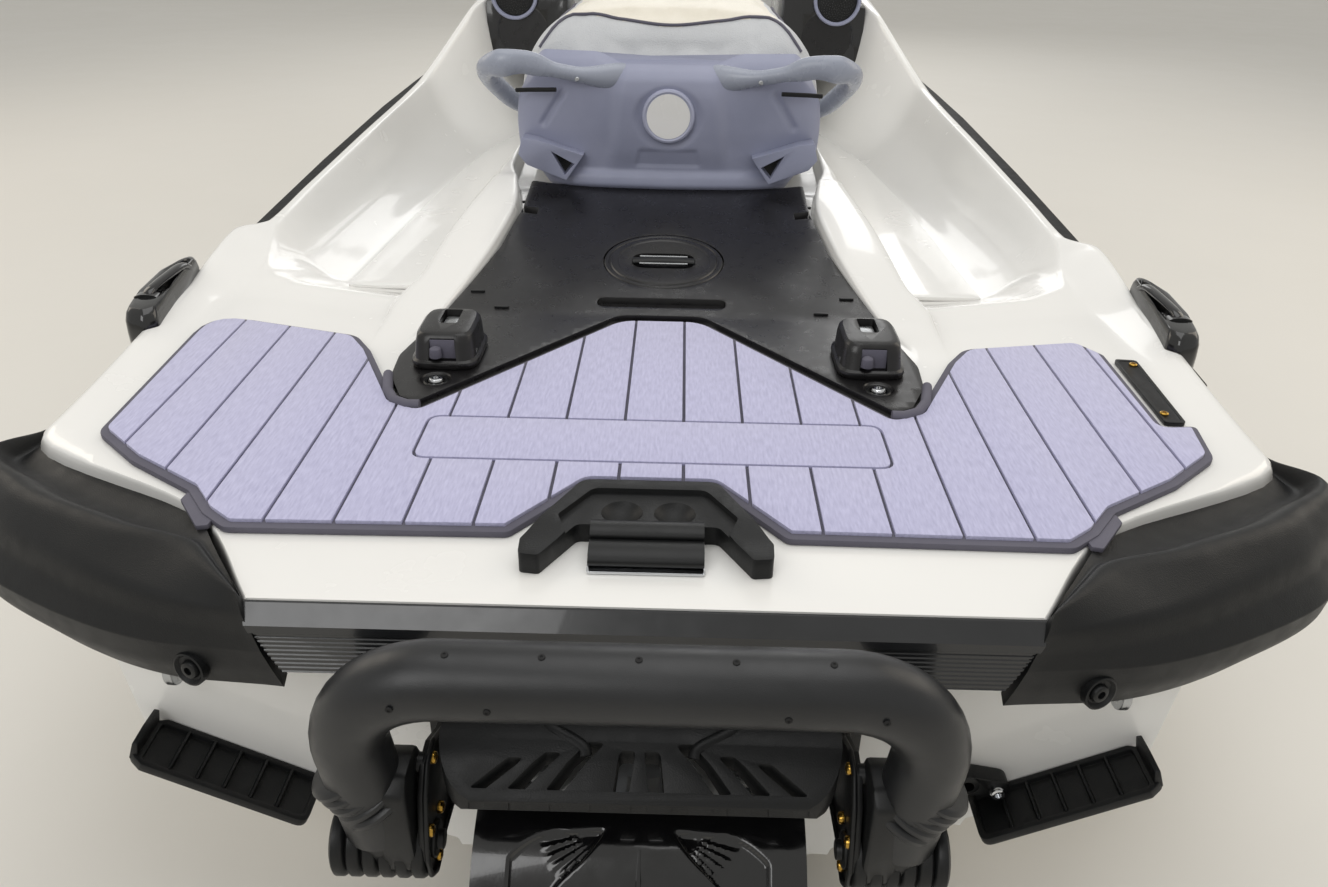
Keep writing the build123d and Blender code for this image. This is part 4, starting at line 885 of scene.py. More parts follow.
def moved_in(corners, d):
    """The outline with every side moved in by d, corner radii eased to match."""
    out = []
    n = len(corners)
    for i in range(n):
        a, b, c = (Vector(corners[j % n][:2]) for j in (i - 1, i, i + 1))
        u, v = (b - a).normalized(), (c - b).normalized()
        left_u, left_v = Vector((-u.y, u.x)), Vector((-v.y, v.x))
        blend = left_u + left_v
        q = b + blend * (d / max(blend.dot(left_u), 0.2))
        turning = u.x * v.y - u.y * v.x
        out.append((q.x, q.y, max(corners[i][2] - (d if turning > 0 else -d), 2)))
    return out


BORDER = 8.0             # charcoal left round the planks
MAT_TOP = 200.0
PLANK_T = 3.6
piece(Shape().prism(fillet(mat_corners), DECK_Z + 0.3, MAT_TOP - 3.4), "mat_base", seam_foam, "hull",
      "mat_foam", "platform_mat", edge=1.2)
PANEL = (222, 199, 281)  # bare panel: half-breadth, rear edge and front edge
PANEL_GAP = 1.6


def panel_outline(grow):
    """The bare panel's outline, grown on every side."""
    x, p0, p1 = PANEL[0] + grow, PANEL[1] - grow, PANEL[2] + grow
    return fillet([(x, p0, 14 + grow), (x, p1, 14 + grow), (-x, p1, 14 + grow), (-x, p0, 14 + grow)])


slab = linked("plank_slab", Shape().prism(fillet(moved_in(mat_corners, BORDER)), MAT_TOP - PLANK_T, MAT_TOP))
planks.run(slab, Pitch=PLANK_PITCH, Seam=SEAM_WIDTH, Blades=BLADES, Middle=tuple(pt(0, 400, MAT_TOP + 6.2)))
carve(slab, Shape().prism(panel_outline(PANEL_GAP), 180, 220))
panel = Shape().prism(panel_outline(-PANEL_GAP), MAT_TOP - PLANK_T, MAT_TOP).mesh("panel")
plank_mesh = joined("planks", [slab.data, panel])
bpy.data.objects.remove(slab)
mat_planks = piece(plank_mesh, "mat_planks", eva, "hull", "mat_foam", edge=0.9)
print("planks", len(mat_planks.data.polygons), "faces")

# %% [markdown]
# A corner bumper is one hollow moulding in black polyolefin: a scoop along the top, a rounded
# ridge, a hollow band down the side, a crease and a flat lower facet. Rings across the moulding
# follow the corner of the craft, with the same section all along but for its height and scoop.

# %% Stern bumpers
# Columns: station, inner (x, p), outer (x, p), share of the full height, depth of the scoop
BUMPER = Sections([
    (0, 305, -2, 305, -16, 199, 114, 0), (1, 347, 57, 396, 3, 203, 101, 0),
    (2, 386, 113, 500, 46, 205, 95, 0.75), (3, 493, 183, 588, 104, 205, 95, 1),
    (4, 602, 256, 627, 178, 197, 95, 1), (4.5, 604, 300, 627, 254, 174, 98, 0.5),
    (5, 605, 345, 627, 330, 165, 103, 0.2), (5.6, 606, 400, 627, 396, 168, 118, 0),
    (6, 606, 452, 626, 450, 176, 137, 0)])


def bumper_ring(s):
    """The bumper's section at station s, as a ring of points."""
    x0, p0, x1, p1, top, foot, scoop = BUMPER.at(s)
    ridge = 0.14 + 0.40 * scoop
    section = [(0, 0.95 - 0.2 * scoop), (ridge * 0.62, 0.93 - 0.22 * scoop), (ridge, 0.985),
               (ridge + 0.12, 0.985), (0.80 + 0.02 * scoop, 0.80), (0.87, 0.60), (1.0, 0.43), (0.975, 0.2),
               (0.86, 0.0), (0, 0.04)]
    flat = rolled(section, [0.14, 0.08, 0.08, 0.10, 0.04, 0.012, 0.06, 0.05], 4)
    out = [(x0 + a * (x1 - x0), p0 + a * (p1 - p0), foot + u * (top - foot)) for a, u in flat]
    lean = 26 * (1 - smooth(s / 0.8))
    return [(x - lean * (1 - u), p, z) for (x, p, z), (a, u) in zip(out, flat)]


rings = [bumper_ring(s) for s in spaced(0, 6, 0.06)]
for side, name in ((1, "right"), (-1, "left")):
    shape = Shape().skin([[(side * x, p, z) for x, p, z in ring] for ring in rings])
    piece(shape, f"bumper_moulding_{name}", grained, "hull", "black_plastic", f"bumper_{name}", turn_sharp=50)
print("bumpers", len(rings), "rings each")

# %% [markdown]
# Small round things repeat by the dozen: plugs along the ladder's foam, brass bolts, dark
# screws. Each set is a short list of places with an outward direction. A small Geometry Nodes
# tree puts one head on every point and turns it to that direction.

# %% Fasteners
def head_shape(radius, height, recess):
    """A low round head with a round recess, along +Z."""
    r, h = radius, height
    profile = [(0, 0.01), (0, r), (h * 0.55, r), (h * 0.9, r * 0.86), (h, r * 0.7), (h, recess),
               (h * 0.45, recess), (h * 0.45, 0.01)]
    return Shape().turned((0, -STERN_Y * 1000, 0), (0, 0, 1), profile, 20)


def fasteners(name, places, mat, body, radius, height, recess, scale=1.0):
    """One joined piece of heads; places are ((x, p, z), direction)."""
    tree = Tree(name + "_nodes", Scale=1.0)
    seed = linked(name + "_head", head_shape(radius, height, recess))
    source = tree.node("GeometryNodeObjectInfo", {"Object": seed})
    way = tree.node("GeometryNodeInputNamedAttribute", {"Name": "way"}, data_type="FLOAT_VECTOR")
    aim = tree.node("FunctionNodeAlignRotationToVector", {"Vector": way.outputs[0]}, axis="Z")
    put = tree.node("GeometryNodeInstanceOnPoints", {
        "Points": tree.given.outputs["Geometry"], "Instance": source.outputs["Geometry"],
        "Rotation": aim.outputs[0], "Scale": tree.given.outputs["Scale"]})
    tree.end(put.outputs[0], mat)
    data = bpy.data.meshes.new(name)
    data.from_pydata([pt(*q) for q, way_out in places], [], [])
    column_of = data.attributes.new("way", "FLOAT_VECTOR", "POINT")
    column_of.data.foreach_set("vector", [c for q, way_out in places for c in Vector(way_out).normalized()])
    ob = linked(name, data)
    tree.run(ob, Scale=scale)
    bpy.data.objects.remove(seed)
    sharp(ob, 35)
    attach(ob, body)
    return ob


# %% [markdown]
# A seat cushion is foam under a stretched vinyl cover, crowned between its seams. A loft of the
# pad's sections, made a little small, is remeshed finely and blown up by the cloth solver with
# gravity off. The cap on how far a point may travel keeps it in the space that it has.

# %% Seat cushions
LAST_FRAME = 14          # the swelling is still by then


def puffed(ob, travel, pressure=4.0, voxel=0.007):
    """Swells a closed pad with the cloth solver; travel is the most that a point moves, in mm."""
    remesh = ob.modifiers.new("fine", "REMESH")
    remesh.mode, remesh.voxel_size = "VOXEL", voxel
    bpy.context.view_layer.update()
    evaluated(ob)
    rest = np.array([v.co for v in ob.data.vertices])
    cloth = ob.modifiers.new("swell", "CLOTH")
    cloth.settings.use_pressure = True
    cloth.settings.uniform_pressure_force = pressure
    cloth.settings.tension_stiffness = cloth.settings.compression_stiffness = 8
    cloth.settings.effector_weights.gravity = 0
    for frame_number in range(1, LAST_FRAME + 1):
        scene.frame_set(frame_number)
    evaluated(ob)
    blown = np.array([v.co for v in ob.data.vertices])
    move = blown - rest
    length = np.linalg.norm(move, axis=1, keepdims=True)
    move *= np.minimum(1, travel / 1000 / np.maximum(length, 1e-9))
    ob.data.vertices.foreach_set("co", (rest + move).astype(np.float32).ravel())
    scene.frame_set(1)
    print(ob.name, "swells by up to", round(float(np.linalg.norm(move, axis=1).max()) * 1000, 1), "mm")
    return ob


# Columns: p, foot's half-breadth, foot's height, widest half-breadth and its height,
# shoulder half-breadth and height, crown height
PASSENGER = Sections([
    (992, 206, 262, 214, 352, 188, 412, 424), (1004, 218, 262, 226, 360, 198, 450, 462),
    (1030, 224, 262, 229, 372, 196, 473, 484), (1110, 226, 262, 229, 380, 188, 482, 489),
    (1220, 226, 266, 228, 385, 182, 484, 487), (1330, 225, 276, 226, 388, 180, 480, 482),
    (1408, 223, 284, 224, 388, 178, 470, 476), (1420, 214, 288, 214, 388, 168, 456, 462)])
DRIVER = Sections([
    (1434, 212, 294, 212, 380, 164, 438, 444), (1446, 220, 294, 220, 385, 172, 452, 458),
    (1560, 214, 294, 214, 385, 164, 452, 450), (1740, 202, 298, 204, 385, 150, 452, 450),
    (1900, 188, 299, 194, 385, 136, 460, 460), (2050, 176, 300, 184, 400, 120, 480, 482),
    (2128, 166, 300, 172, 415, 104, 496, 498), (2143, 150, 302, 156, 410, 92, 484, 486)])


def cushion(table, p0, p1, name, travel):
    """A seat's foam under its cover, from p0 to p1."""
    rings = []
    for p in spaced(p0, p1, 12):
        foot, foot_z, wide, wide_z, shoulder, shoulder_z, crown = table.at(p)
        half = rolled([(0, crown), (shoulder * 0.55, crown - 1), (shoulder, shoulder_z), (wide, wide_z),
                       (foot, foot_z), (0, foot_z)], [60, 52, 50, 9], 5)
        rings.append(both_sides([(x, p, z) for x, z in half]))
    return puffed(linked(name, Shape().skin(rings)), travel)


def two_tone(ob, rear, front):
    """Cream top inside the piped seam, silver elsewhere."""
    for mat in (vinyl, cream):
        ob.data.materials.append(mat.m)
    data = ob.data
    for face in data.polygons:
        c = face.center
        x, p, z = c.x * 1000, (c.y - STERN_Y) * 1000, c.z * 1000
        reach = 158 if p < 1700 else 158 - (p - 1700) * 0.16
        dip = -9 * math.cos(math.pi * min(abs(x) / 122, 1))
        inside = abs(x) < reach and rear + dip < p < front and face.normal.z > 0.35
        face.material_index = 1 if inside else 0


def finished(ob, body, slot, *replaced, degrees=70):
    """Smooths a swelled pad and gives it its place in the frame."""
    smoother = ob.modifiers.new("fine", "SUBSURF")
    smoother.levels = smoother.render_levels = 1
    bpy.context.view_layer.update()
    evaluated(ob)
    sharp(ob, degrees)
    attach(ob, body)
    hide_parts(*replaced)
    return ob


passenger = cushion(PASSENGER, 992, 1420, "passenger_cushion", 7)
two_tone(passenger, 1032, 1412)
finished(passenger, "passenger_seat", "seat_vinyl", "passenger_seat")
driver = cushion(DRIVER, 1434, 2143, "driver_cushion", 7)
two_tone(driver, 1440, 2080)
finished(driver, "hull", "seat_vinyl", "driver_seat")


def on_pad(ob, x, p, lift=1.5):
    """The point straight down on a pad's top."""
    place = ob.ray_cast(pt(x, p, 900), Vector((0, 0, -1)))[1]
    return (x, p, place.z * 1000 + lift)


def arch(span, p, dip):
    """The piped seam's line across the pad's rear shoulder: a bow with its ends swept forward."""
    out = []
    for k in range(41):
        x = span * (k / 20 - 1)
        t = abs(x) / span
        out.append((x, p + dip * math.cos(math.pi * min(t / 0.62, 1)) - 30 * smooth((t - 0.74) / 0.26)))
    return out


piping = Shape()
seam = [on_pad(passenger, x, p) for x, p in arch(196, 1032, -9)]
piping.sweep(seam, 2.4, 8)
for side in (-1, 1):
    piping.sweep([on_pad(passenger, side * 176, p) for p in spaced(1120, 1395, 25)], 2.2, 8)
piece(piping, "passenger_piping", seam_foam, "passenger_seat", "seat_vinyl", turn_sharp=60)
piping = Shape()
for side in (-1, 1):
    piping.sweep([on_pad(driver, side * (160 - max(p - 1700, 0) * 0.16), p) for p in spaced(1450, 2080, 30)],
                 2.2, 8)
piece(piping, "driver_piping", seam_foam, "hull", "seat_vinyl", turn_sharp=60)
print("cushions done")

# %% [markdown]
# The seat's tail is one injection-moulded shell. Its relief is soft: a raised middle panel, a
# dished seat for a bare disc, a shallow trapezium and two slanting grooves. Level rings give the
# shell, and the relief is a function of x and z that pushes the rear face out or in.

# %% Seat tail
TAIL_Z = 240.3       # the plate's top under the tail
DISC_H = 119         # the disc's middle, over TAIL_Z
# Columns: height over the plate, p of the rear face, half-breadth
TAIL = Sections([(0, 956, 176), (7, 944, 184), (15, 937, 190), (26, 939, 198), (38, 947, 208), (64, 946, 229),
                 (100, 942, 231), (150, 939, 229), (176, 942, 225), (192, 951, 217), (203, 964, 206)])
TAIL_FRONT = 985.7


def relief(x, z):
    """How far the rear face stands out at a height over the plate, in millimetres."""
    ax = abs(x)
    middle = smooth((94 - ax - 0.1 * (z - 90)) / 24) * smooth((z - 24) / 50)
    dish = smooth((54 - math.hypot(x, z - DISC_H)) / 12)
    trap = smooth((48 - ax - (z - 56) * 0.22) / 5) * smooth((z - 41) / 4) * smooth((70 - z) / 4)
    across = (ax - 172) * 0.84 + (z - 125) * 0.55
    along = (ax - 172) * -0.55 + (z - 125) * 0.84
    groove = smooth(1 - abs(across) / 8) * smooth((36 - abs(along)) / 10)
    return 7 * middle - 4 * dish - 2.6 * trap - 5 * groove


def tail_height(x, z):
    """Level of a ring's point: the top edge dips behind the disc and falls off at the sides."""
    ax = abs(x)
    top = 189 + 14 * smooth((ax - 62) / 50) - 46 * smooth((ax - 182) / 46)
    return z if z < 100 else 100 + (z - 100) * (top - 100) / 103


def tail_outline(z):
    """Right half of the tail's level outline, rear to front."""
    rear, half = TAIL.at(z)
    return rolled([(0, rear), (half * 0.60, rear + 3), (half * 0.90, rear + 15), (half, TAIL_FRONT - 10),
                   (half - 5, TAIL_FRONT), (0, TAIL_FRONT)], [60, 40, 14, 3], 6)


widest = tail_outline(100)
parts = [max(1, round((b[0] - a[0]) / 3)) if b[1] < TAIL_FRONT - 5 else 1 for a, b in zip(widest, widest[1:])]
rings = []
for z in spaced(0, 203, 3):
    outline, fine = tail_outline(z), []
    for (x0, q0), (x1, q1), n in zip(outline, outline[1:], parts):
        fine += [(x0 + (x1 - x0) * j / n, q0 + (q1 - q0) * j / n) for j in range(n)]
    fine.append(outline[-1])
    ring = [(x, q - (relief(x, z) if q < TAIL_FRONT - 12 else 0), TAIL_Z + tail_height(x, z))
            for x, q in fine]
    rings.append(both_sides(ring))
tail = Shape().skin(rings)
piece(tail, "tail_shell", tail_grey, "passenger_seat", "grey_plastic", "seat_tail", turn_sharp=55)

pods = Shape()
front = [(153, 23), (212, 45), (224, 60), (218, 84), (196, 82), (126, 61)]
pods.skin([[(x, q, TAIL_Z + z) for x, z in front] for q in (930, 968)])
pods.mirrored()
triangle = [(155, 30), (174, 65), (140, 47)]
holes = Shape().skin([[(x, q, TAIL_Z + z) for x, z in triangle] for q in (900, 946)]).mirrored()
piece(pods, "tail_pods", tail_grey, "passenger_seat", "grey_plastic", edge=3.5, cuts=[holes])
vents = Shape().skin([[(x, q, TAIL_Z + z) for x, z in [(156, 33), (171, 62), (144, 47.5)]]
                      for q in (941, 950)]).mirrored()
piece(vents, "tail_vents", gloss, "passenger_seat", "black_plastic")
shoulder_slits = Shape()
for side in (-1, 1):
    shoulder_slits.sweep([(side * x, q, TAIL_Z + z)
                          for x, q, z in ((224, 944, 150), (206, 938, 152), (188, 935, 153),
                                                                    (164, 932, 154))], 3.2, 8)
piece(shoulder_slits, "tail_slits", rubber, "passenger_seat", "grey_plastic", turn_sharp=60)

disc = Shape().turned((0, 946, TAIL_Z + DISC_H), (0, -1, 0.0),
                      [(0, 39), (12, 39), (15, 37.5), (16, 35), (14.2, 32.5), (14, 0.01)], 56)
piece(disc, "tail_disc", pad_grey, "passenger_seat", "grey_plastic")
face = Shape().turned((0, 946, TAIL_Z + DISC_H), (0, -1, 0.0), [(12, 32.4), (14.9, 32), (15.1, 0.01)], 56)
piece(face, "tail_disc_face", gelcoat, "passenger_seat", "hull_gelcoat")
print("tail done")

# %% [markdown]
# Each grab handle is a soft flat pad that runs into a round loop. One sweep gives both: its
# section starts wide and flat, and turns round as it goes outboard and back to the seat's side.

# %% Grab handles
def bowed(points, steps=10):
    """A smooth path through the points (a Catmull-Rom curve)."""
    q = [Vector(points[0])] + [Vector(p) for p in points] + [Vector(points[-1])]
    out = []
    for i in range(1, len(q) - 2):
        for k in range(steps):
            t = k / steps
            out.append(0.5 * ((2 * q[i]) + (q[i + 1] - q[i - 1]) * t
                              + (2 * q[i - 1] - 5 * q[i] + 4 * q[i + 1] - q[i + 2]) * t**2
                              + (3 * q[i] - q[i - 1] - 3 * q[i + 1] + q[i + 2]) * t**3))
    return out + [q[-2]]


GRAB = [(66, 962, 410), (92, 949, 411), (128, 936, 415), (166, 925, 423), (206, 915, 434), (240, 914, 432),
        (262, 932, 424), (268, 966, 407), (258, 1004, 382), (240, 1026, 360), (216, 1034, 346)]
line = bowed(GRAB, 9)
sizes = []
for q in line:
    paddle = smooth((q.x - 162) / 34) * smooth((262 - q.x) / 26) * smooth((950 - q.y) / 20)
    flare, loop = 1 - smooth((q.x - 76) / 62), smooth((q.x - 205) / 50)
    sizes.append((10 + 5 * flare + 4 * loop, 10.5 + 8.5 * flare + 4.5 * loop + 5.5 * paddle))
LOOP_SIDES = 28
handles = Shape().sweep(line, sizes, LOOP_SIDES)
for k in range(len(handles.faces)):
    q = line[min(k // LOOP_SIDES, len(line) - 1)]
    handles.finish[k] = 1 if 176 < q.x < 252 and q.y < 935 else 0
handles.mirrored()
piece(handles, "grab_loops", [loop_grey, pad_grey], "passenger_seat", "grey_plastic", "grab_handles",
      turn_sharp=60)
fasteners("handle_screws", [((side * 132, 922, 411), (0, -1, 0.1)) for side in (-1, 1)], steel,
          "passenger_seat", 3.2, 1.6, 1.4)


# %% [markdown]
# The boarding ladder is a bent steel tube in a thick foam sleeve. Its legs end in a bellows and
# a barrel of stacked discs, which turns on the bracket's pin. Bellows and barrel are turned
# shapes whose outline repeats, so one short function writes it.

# %% Boarding ladder
LADDER_HALF, FOOT_X = 216.0, 203.0       # half-breadth at the bar and at the feet
BAR, PIVOT = (-80.0, 187.0), (-50.0, -10.0)  # p and z
TUBE_R = 28.0                            # over the foam


def stacked(length, count, outer, inner, rim=0.35):
    """Outline of stacked discs: (distance, radius) pairs with a groove between each two."""
    pitch = length / count
    out = [(0, 0.01)]
    for k in range(count):
        a = k * pitch
        out += [(a, inner), (a + pitch * 0.12, outer - 1.5), (a + pitch * 0.3, outer),
                (a + pitch * (1 - rim), outer), (a + pitch * (1 - rim / 2), outer - 1.5), (a + pitch, inner)]
    return out + [(length, 0.01)]


foot_at = Vector((FOOT_X, PIVOT[0], PIVOT[1]))
top = Vector((LADDER_HALF, BAR[0], BAR[1]))
leg = top - foot_at
up = leg.normalized()
corner = 78.0                            # radius of the two upper bends
path = [foot_at + up * d for d in spaced(26, leg.length - corner, 12)]
middle = top - up * corner + Vector((-corner, 0, 0))
for k in range(1, 13):
    a = math.radians(90 * k / 12)
    path.append(middle + Vector((corner, 0, 0)) * math.cos(a) + up * corner * math.sin(a))
path += [Vector((x, BAR[0], BAR[1])) for x in spaced(LADDER_HALF - corner - 12, 0, 12)]
path += [Vector((-q.x, q.y, q.z)) for q in reversed(path[:-1])]
ladder = Shape().sweep(path, TUBE_R, 32)
for side in (-1, 1):
    foot, rise = Vector((side * FOOT_X, PIVOT[0], PIVOT[1])), Vector((side * up.x, up.y, up.z))
    slant = (rise + Vector((side * 0.55, 0.1, 0))).normalized()
    ladder.turned(foot + rise * 58 - Vector((side * 8, 0, 0)), slant, stacked(46, 5, 31.5, 27.5), 40)
    ladder.turned(foot + rise * 24, rise, [(0, 0.01), (0, 27), (26, 27), (40, TUBE_R - 1), (40, 0.01)], 36)
piece(ladder, "ladder_sleeve", foam, "ladder", "ladder_foam", "ladder", turn_sharp=40)
drums = Shape()
for side in (-1, 1):
    drums.turned((side * 167, PIVOT[0], PIVOT[1]), (side, 0, 0), stacked(76, 6, 30, 25.5, 0.22), 44)
    end = side * 243
    drums.turned((end - side * 1, PIVOT[0], PIVOT[1]), (side, 0, 0),
                 [(0, 24), (1.6, 22), (1.6, 12), (0.6, 11), (0.6, 0.01)], 36)
    # A rounded web takes the leg's foot down into the barrel
    rise = Vector((side * up.x, up.y, up.z))
    drums.sweep([Vector((side * FOOT_X, PIVOT[0], PIVOT[1])) + rise * d for d in (0, 16, 30, 44, 58)],
                [(30, 24), (31, 25), (29, 26), (27.5, 26.5), (25, 25)], 32)
piece(drums, "ladder_drums", satin, "ladder", "black_plastic", turn_sharp=40)
feet = Shape()
for side in (-1, 1):
    feet.across([(-78, -16), (-24, -12), (-27, 62), (-36, 80), (-50, 86), (-72, 84), (-84, 72)], side * 173,
                side * 200)
piece(feet, "ladder_feet", satin, "ladder", "black_plastic", edge=4)

bolts = []
for side in (-1, 1):
    for p, z in ((-34, 64), (-32, 6), (-64, 16), (-52, -26)):
        bolts.append(((side * 164.6, p, z), (-side, 0, 0)))
fasteners("bracket_bolts", bolts, brass, "hull", 5.2, 4.5, 2.4)
aside = math.radians(12)                 # the upper plugs sit a little aft of the top
plugs = [((x, BAR[0] - TUBE_R * math.sin(aside), BAR[1] + TUBE_R * math.cos(aside)),
          (0, -math.sin(aside), math.cos(aside))) for x in (-130, -65, 0, 65, 130)]
plugs += [((x, BAR[0] - TUBE_R, BAR[1] - 2), (0, -1, 0)) for x in (-165, -100, 100, 165)]
fasteners("sleeve_plugs", plugs, rubber, "ladder", 2.6, 0.8, 1.0)

# %% [markdown]
# The ladder's brackets are cast arms with a rounded rim, bolted to the transom by a flange, and
# each carries the pin of a barrel. An outline drawn across the craft gives the arm and one closed
# sweep along it gives the rim, which is cleaner than rounding the edge of so thin a plate.

# %% Ladder brackets
arm = Shape()
outline = [(79.7, 52), (6, 56), (-24, 72), (-46, 70), (-62, 50), (-70, 24), (-76, -4), (-72, -26), (-58, -38),
           (-44, -37), (-30, -30), (79.7, -40)]
arm.across(outline, 165.5, 171)
edge_line = [(164.6, p, z) for p, z in fillet([(p, z, 6) for p, z in outline], 3)]
arm.sweep(edge_line + edge_line[:1], 2.4, 8)
arm.across([(71.7, -40), (79.7, -40), (79.7, 52), (71.7, 52)], 156, 196)
arm.turned((157, PIVOT[0], PIVOT[1]), (1, 0, 0), [(0, 0.01), (0, 8), (86, 8), (86, 0.01)], 24)
arm.turned((161.5, PIVOT[0], PIVOT[1]), (1, 0, 0), [(0, 0.01), (0, 13), (1.5, 15), (6, 15), (6, 0.01)], 28)
arm.turned((168, -40, 64), (1, 0, 0), [(0, 0.01), (0, 8.5), (26, 8.5), (26, 0.01)], 24)
piece(arm.mirrored(), "ladder_arms", satin, "hull", "black_plastic", "ladder_brackets", edge=1.0)

# %% [markdown]
# The pump's cover is a visor with slots that fan out from the middle. Its skin is bent sheet, so
# it is a profile drawn across the craft, rounded in plan, with the slots carved out.

# %% Pump cover
cover = Shape().across([(79.7, 106), (-34, 106), (-50, 103), (-64, 95), (-84, 74), (-85, 66), (-81, 61),
                        (-76, 63), (-60, 84), (-44, 92), (79.7, 92)], -152, 152)
plan = Shape().prism(fillet([(152, 200, 4), (-152, 200, 4), (-152, -86, 44), (152, -86, 44)], 9), 30, 140)
slots = Shape()
for side in (-1, 1):
    for foot_x, top_x, width, upper in ((7, 3, 12, -56), (55, 25, 14, -51), (84, 56, 14, -58),
                                        (113, 84, 13, -62)):
        quad = fillet([(side * foot_x, -78, 1), (side * (foot_x + width), -78, 1),
                       (side * (top_x + width), upper, 5), (side * top_x, upper, 3)], 4)
        slots.prism(quad if side > 0 else quad[::-1], 40, 130)
notches = Shape()
for k in range(-4, 5):
    notches.prism([(k * 30 - 6, -90), (k * 30 + 6, -90), (k * 30 + 6, -82.5), (k * 30 - 6, -82.5)], 50, 72)
piece(cover, "pump_visor", grained, "hull", "black_plastic", "pump_cover", edge=1.2, keep=plan,
      cuts=[slots, notches])
vee = Shape()
for side in (-1, 1):
    vee.sweep(bowed([(side * x, p, z)
                     for x, p, z in ((74, 20, 106), (74, -20, 106), (70, -36, 105.6), (44, -52, 101.5),
                                                      (40, -60, 97))], 6), (4.5, 2.4), 8)
piece(vee, "visor_beading", grained, "hull", "black_plastic", turn_sharp=50)

# %% [markdown]
# The reverse gate is a glossy shell with two hollow wings, ribbed inside, and a spine between
# them. Angle round the pivot and distance across give each point, and a relief function sinks
# the wings and raises their ribs.

# %% Reverse gate
GATE_R, GATE_T, GATE_HALF = 110.0, 6.0, 133.0


def gate_relief(x, a):
    """How far the shell stands out at a place across and an angle above astern, in millimetres."""
    ax = abs(x)
    inner = 26 + (66 - a) * 1.3 + 8 * smooth((58 - a) / 16)
    reach = 66 - smooth((ax - 26) / 38) - 10 * (max(ax - 64, 0) / 38) ** 2
    wing = smooth((ax - inner) / 3) * smooth((104 - ax) / 3) * smooth((reach - a) / 2) * smooth((a + 4) / 6)
    # The ribs fan out from a point at the wing's upper inner corner
    out, down_by = (ax - 24) * 1.26, (66.5 - a) * 2.5
    fan, far = math.degrees(math.atan2(down_by, max(out, 1))), math.hypot(out, down_by)
    crests = (0.5 + 0.5 * math.cos(math.radians(fan * 360 / 9))) ** 3
    ribs = crests * smooth((far - 22) / 16) * smooth((74 - far) / 12)
    return -4.0 * wing + 1.9 * wing * ribs * smooth((58 - fan) / 6)


def gate_point(x, a, r):
    """A place on the shell from the angle above astern and the radius about the pivot."""
    return (x, -r * math.cos(math.radians(a)), JET_Z + r * math.sin(math.radians(a)))


xs = spaced(-GATE_HALF, GATE_HALF, 1.6)
rings = []
for a in spaced(-10, 78, 1.0):
    outer = [gate_point(x, a, GATE_R + gate_relief(x, a)) for x in xs]
    inner = [gate_point(x, a, GATE_R - GATE_T + min(gate_relief(x, a), 0) * 0.9) for x in reversed(xs)]
    rings.append(outer + inner)
gate = Shape().skin(rings)
arc = [(-GATE_R * math.cos(math.radians(a)), JET_Z + GATE_R * math.sin(math.radians(a)))
       for a in spaced(-10, 78, 8)]
for side in (-1, 1):
    gate.across(arc + [(14, JET_Z + 12), (14, JET_Z - 12), (-14, JET_Z - 14)], side * 128, side * GATE_HALF)
    gate.turned((side * 96, 0, JET_Z), (side, 0, 0), [(0, 0.01), (0, 8), (38, 8), (39, 6), (39, 0.01)], 24)
gate.skin([[(x * s, gate_point(0, a, GATE_R + h)[1], gate_point(0, a, GATE_R + h)[2])
            for x, h in ((-6, -2), (-3, 2), (3, 2), (6, -2))]
            for a, s in ((-9, 1), (20, 0.7), (46, 0.5), (58, 0.2))])
piece(gate, "reverse_bucket", gloss, "reverse_gate", "plate_black", "reverse_gate", turn_sharp=50)
print("stern gear done")


# %% [markdown]
# The stern's trim is one extrusion: a glossy slanted band over a ribbed one. The ribs are part of
# its profile, as they are in the die.

# %% Rear trim
profile = [(-0.4, 188.4), (-2.5, 188.2), (-15.2, 175.5), (-15.8, 169), (-13.2, 166.6)]
z = 165.6
while z > 131:
    profile += [(-13.2, z), (-12.2, z - 0.8), (-12.2, z - 2.0), (-13.2, z - 2.8)]
    z -= 4.2
profile += [(-13.2, 129), (-11, 127.2), (-0.4, 127.2)]
trim = Shape().skin([[(side * (303.4 - 26 * max(1 - (z - 127) / 61, 0) ** 1.2), p, z) for p, z in profile]
                     for side in (-1, 1)])
piece(trim, "trim_extrusion", trim_gloss, "hull", "black_plastic", "transom_trim", turn_sharp=30)

# %% [markdown]
# The middle plate is one glossy moulding: flat between its legs, then rising on a gentle ramp.
# The slot, the cap's hole, the bolts' bowls and two small pockets are carved from it, and its rim
# is rounded.

# %% Middle plate and its cap
PLATE_HALF = [(52, 550, 30), (243, 309, 8), (262, 320, 8), (283, 368, 20), (287, 420, 60), (260, 562, 80),
              (221, 724, 60), (208, 850, 30), (208, 953, 6)]
plate_line = fillet(PLATE_HALF + [(-x, p, r) for x, p, r in PLATE_HALF[::-1]])


def plate_top(x, p):
    """The plate's upper side, which rises a little towards its rims beside the seat."""
    edge = 6.5 * smooth((abs(x) - 150) / 80) * smooth((p - 600) / 200)
    return plate_z(p) + PLATE_T + edge


def grid(x0, x1, p0, p1, low, high, step=11):
    """Closed slab over a rectangle whose top and bottom follow two functions."""
    xs = spaced(x0, x1, step)
    return Shape().skin([[(x, p, high(x, p)) for x in xs] + [(x, p, low(x, p)) for x in reversed(xs)]
                         for p in spaced(p0, p1, step)])


plate = grid(-300, 300, 300, 960, lambda x, p: plate_z(p) + 0.4, plate_top)
slope = Vector((0, -PLATE_SLOPE, 1)).normalized()


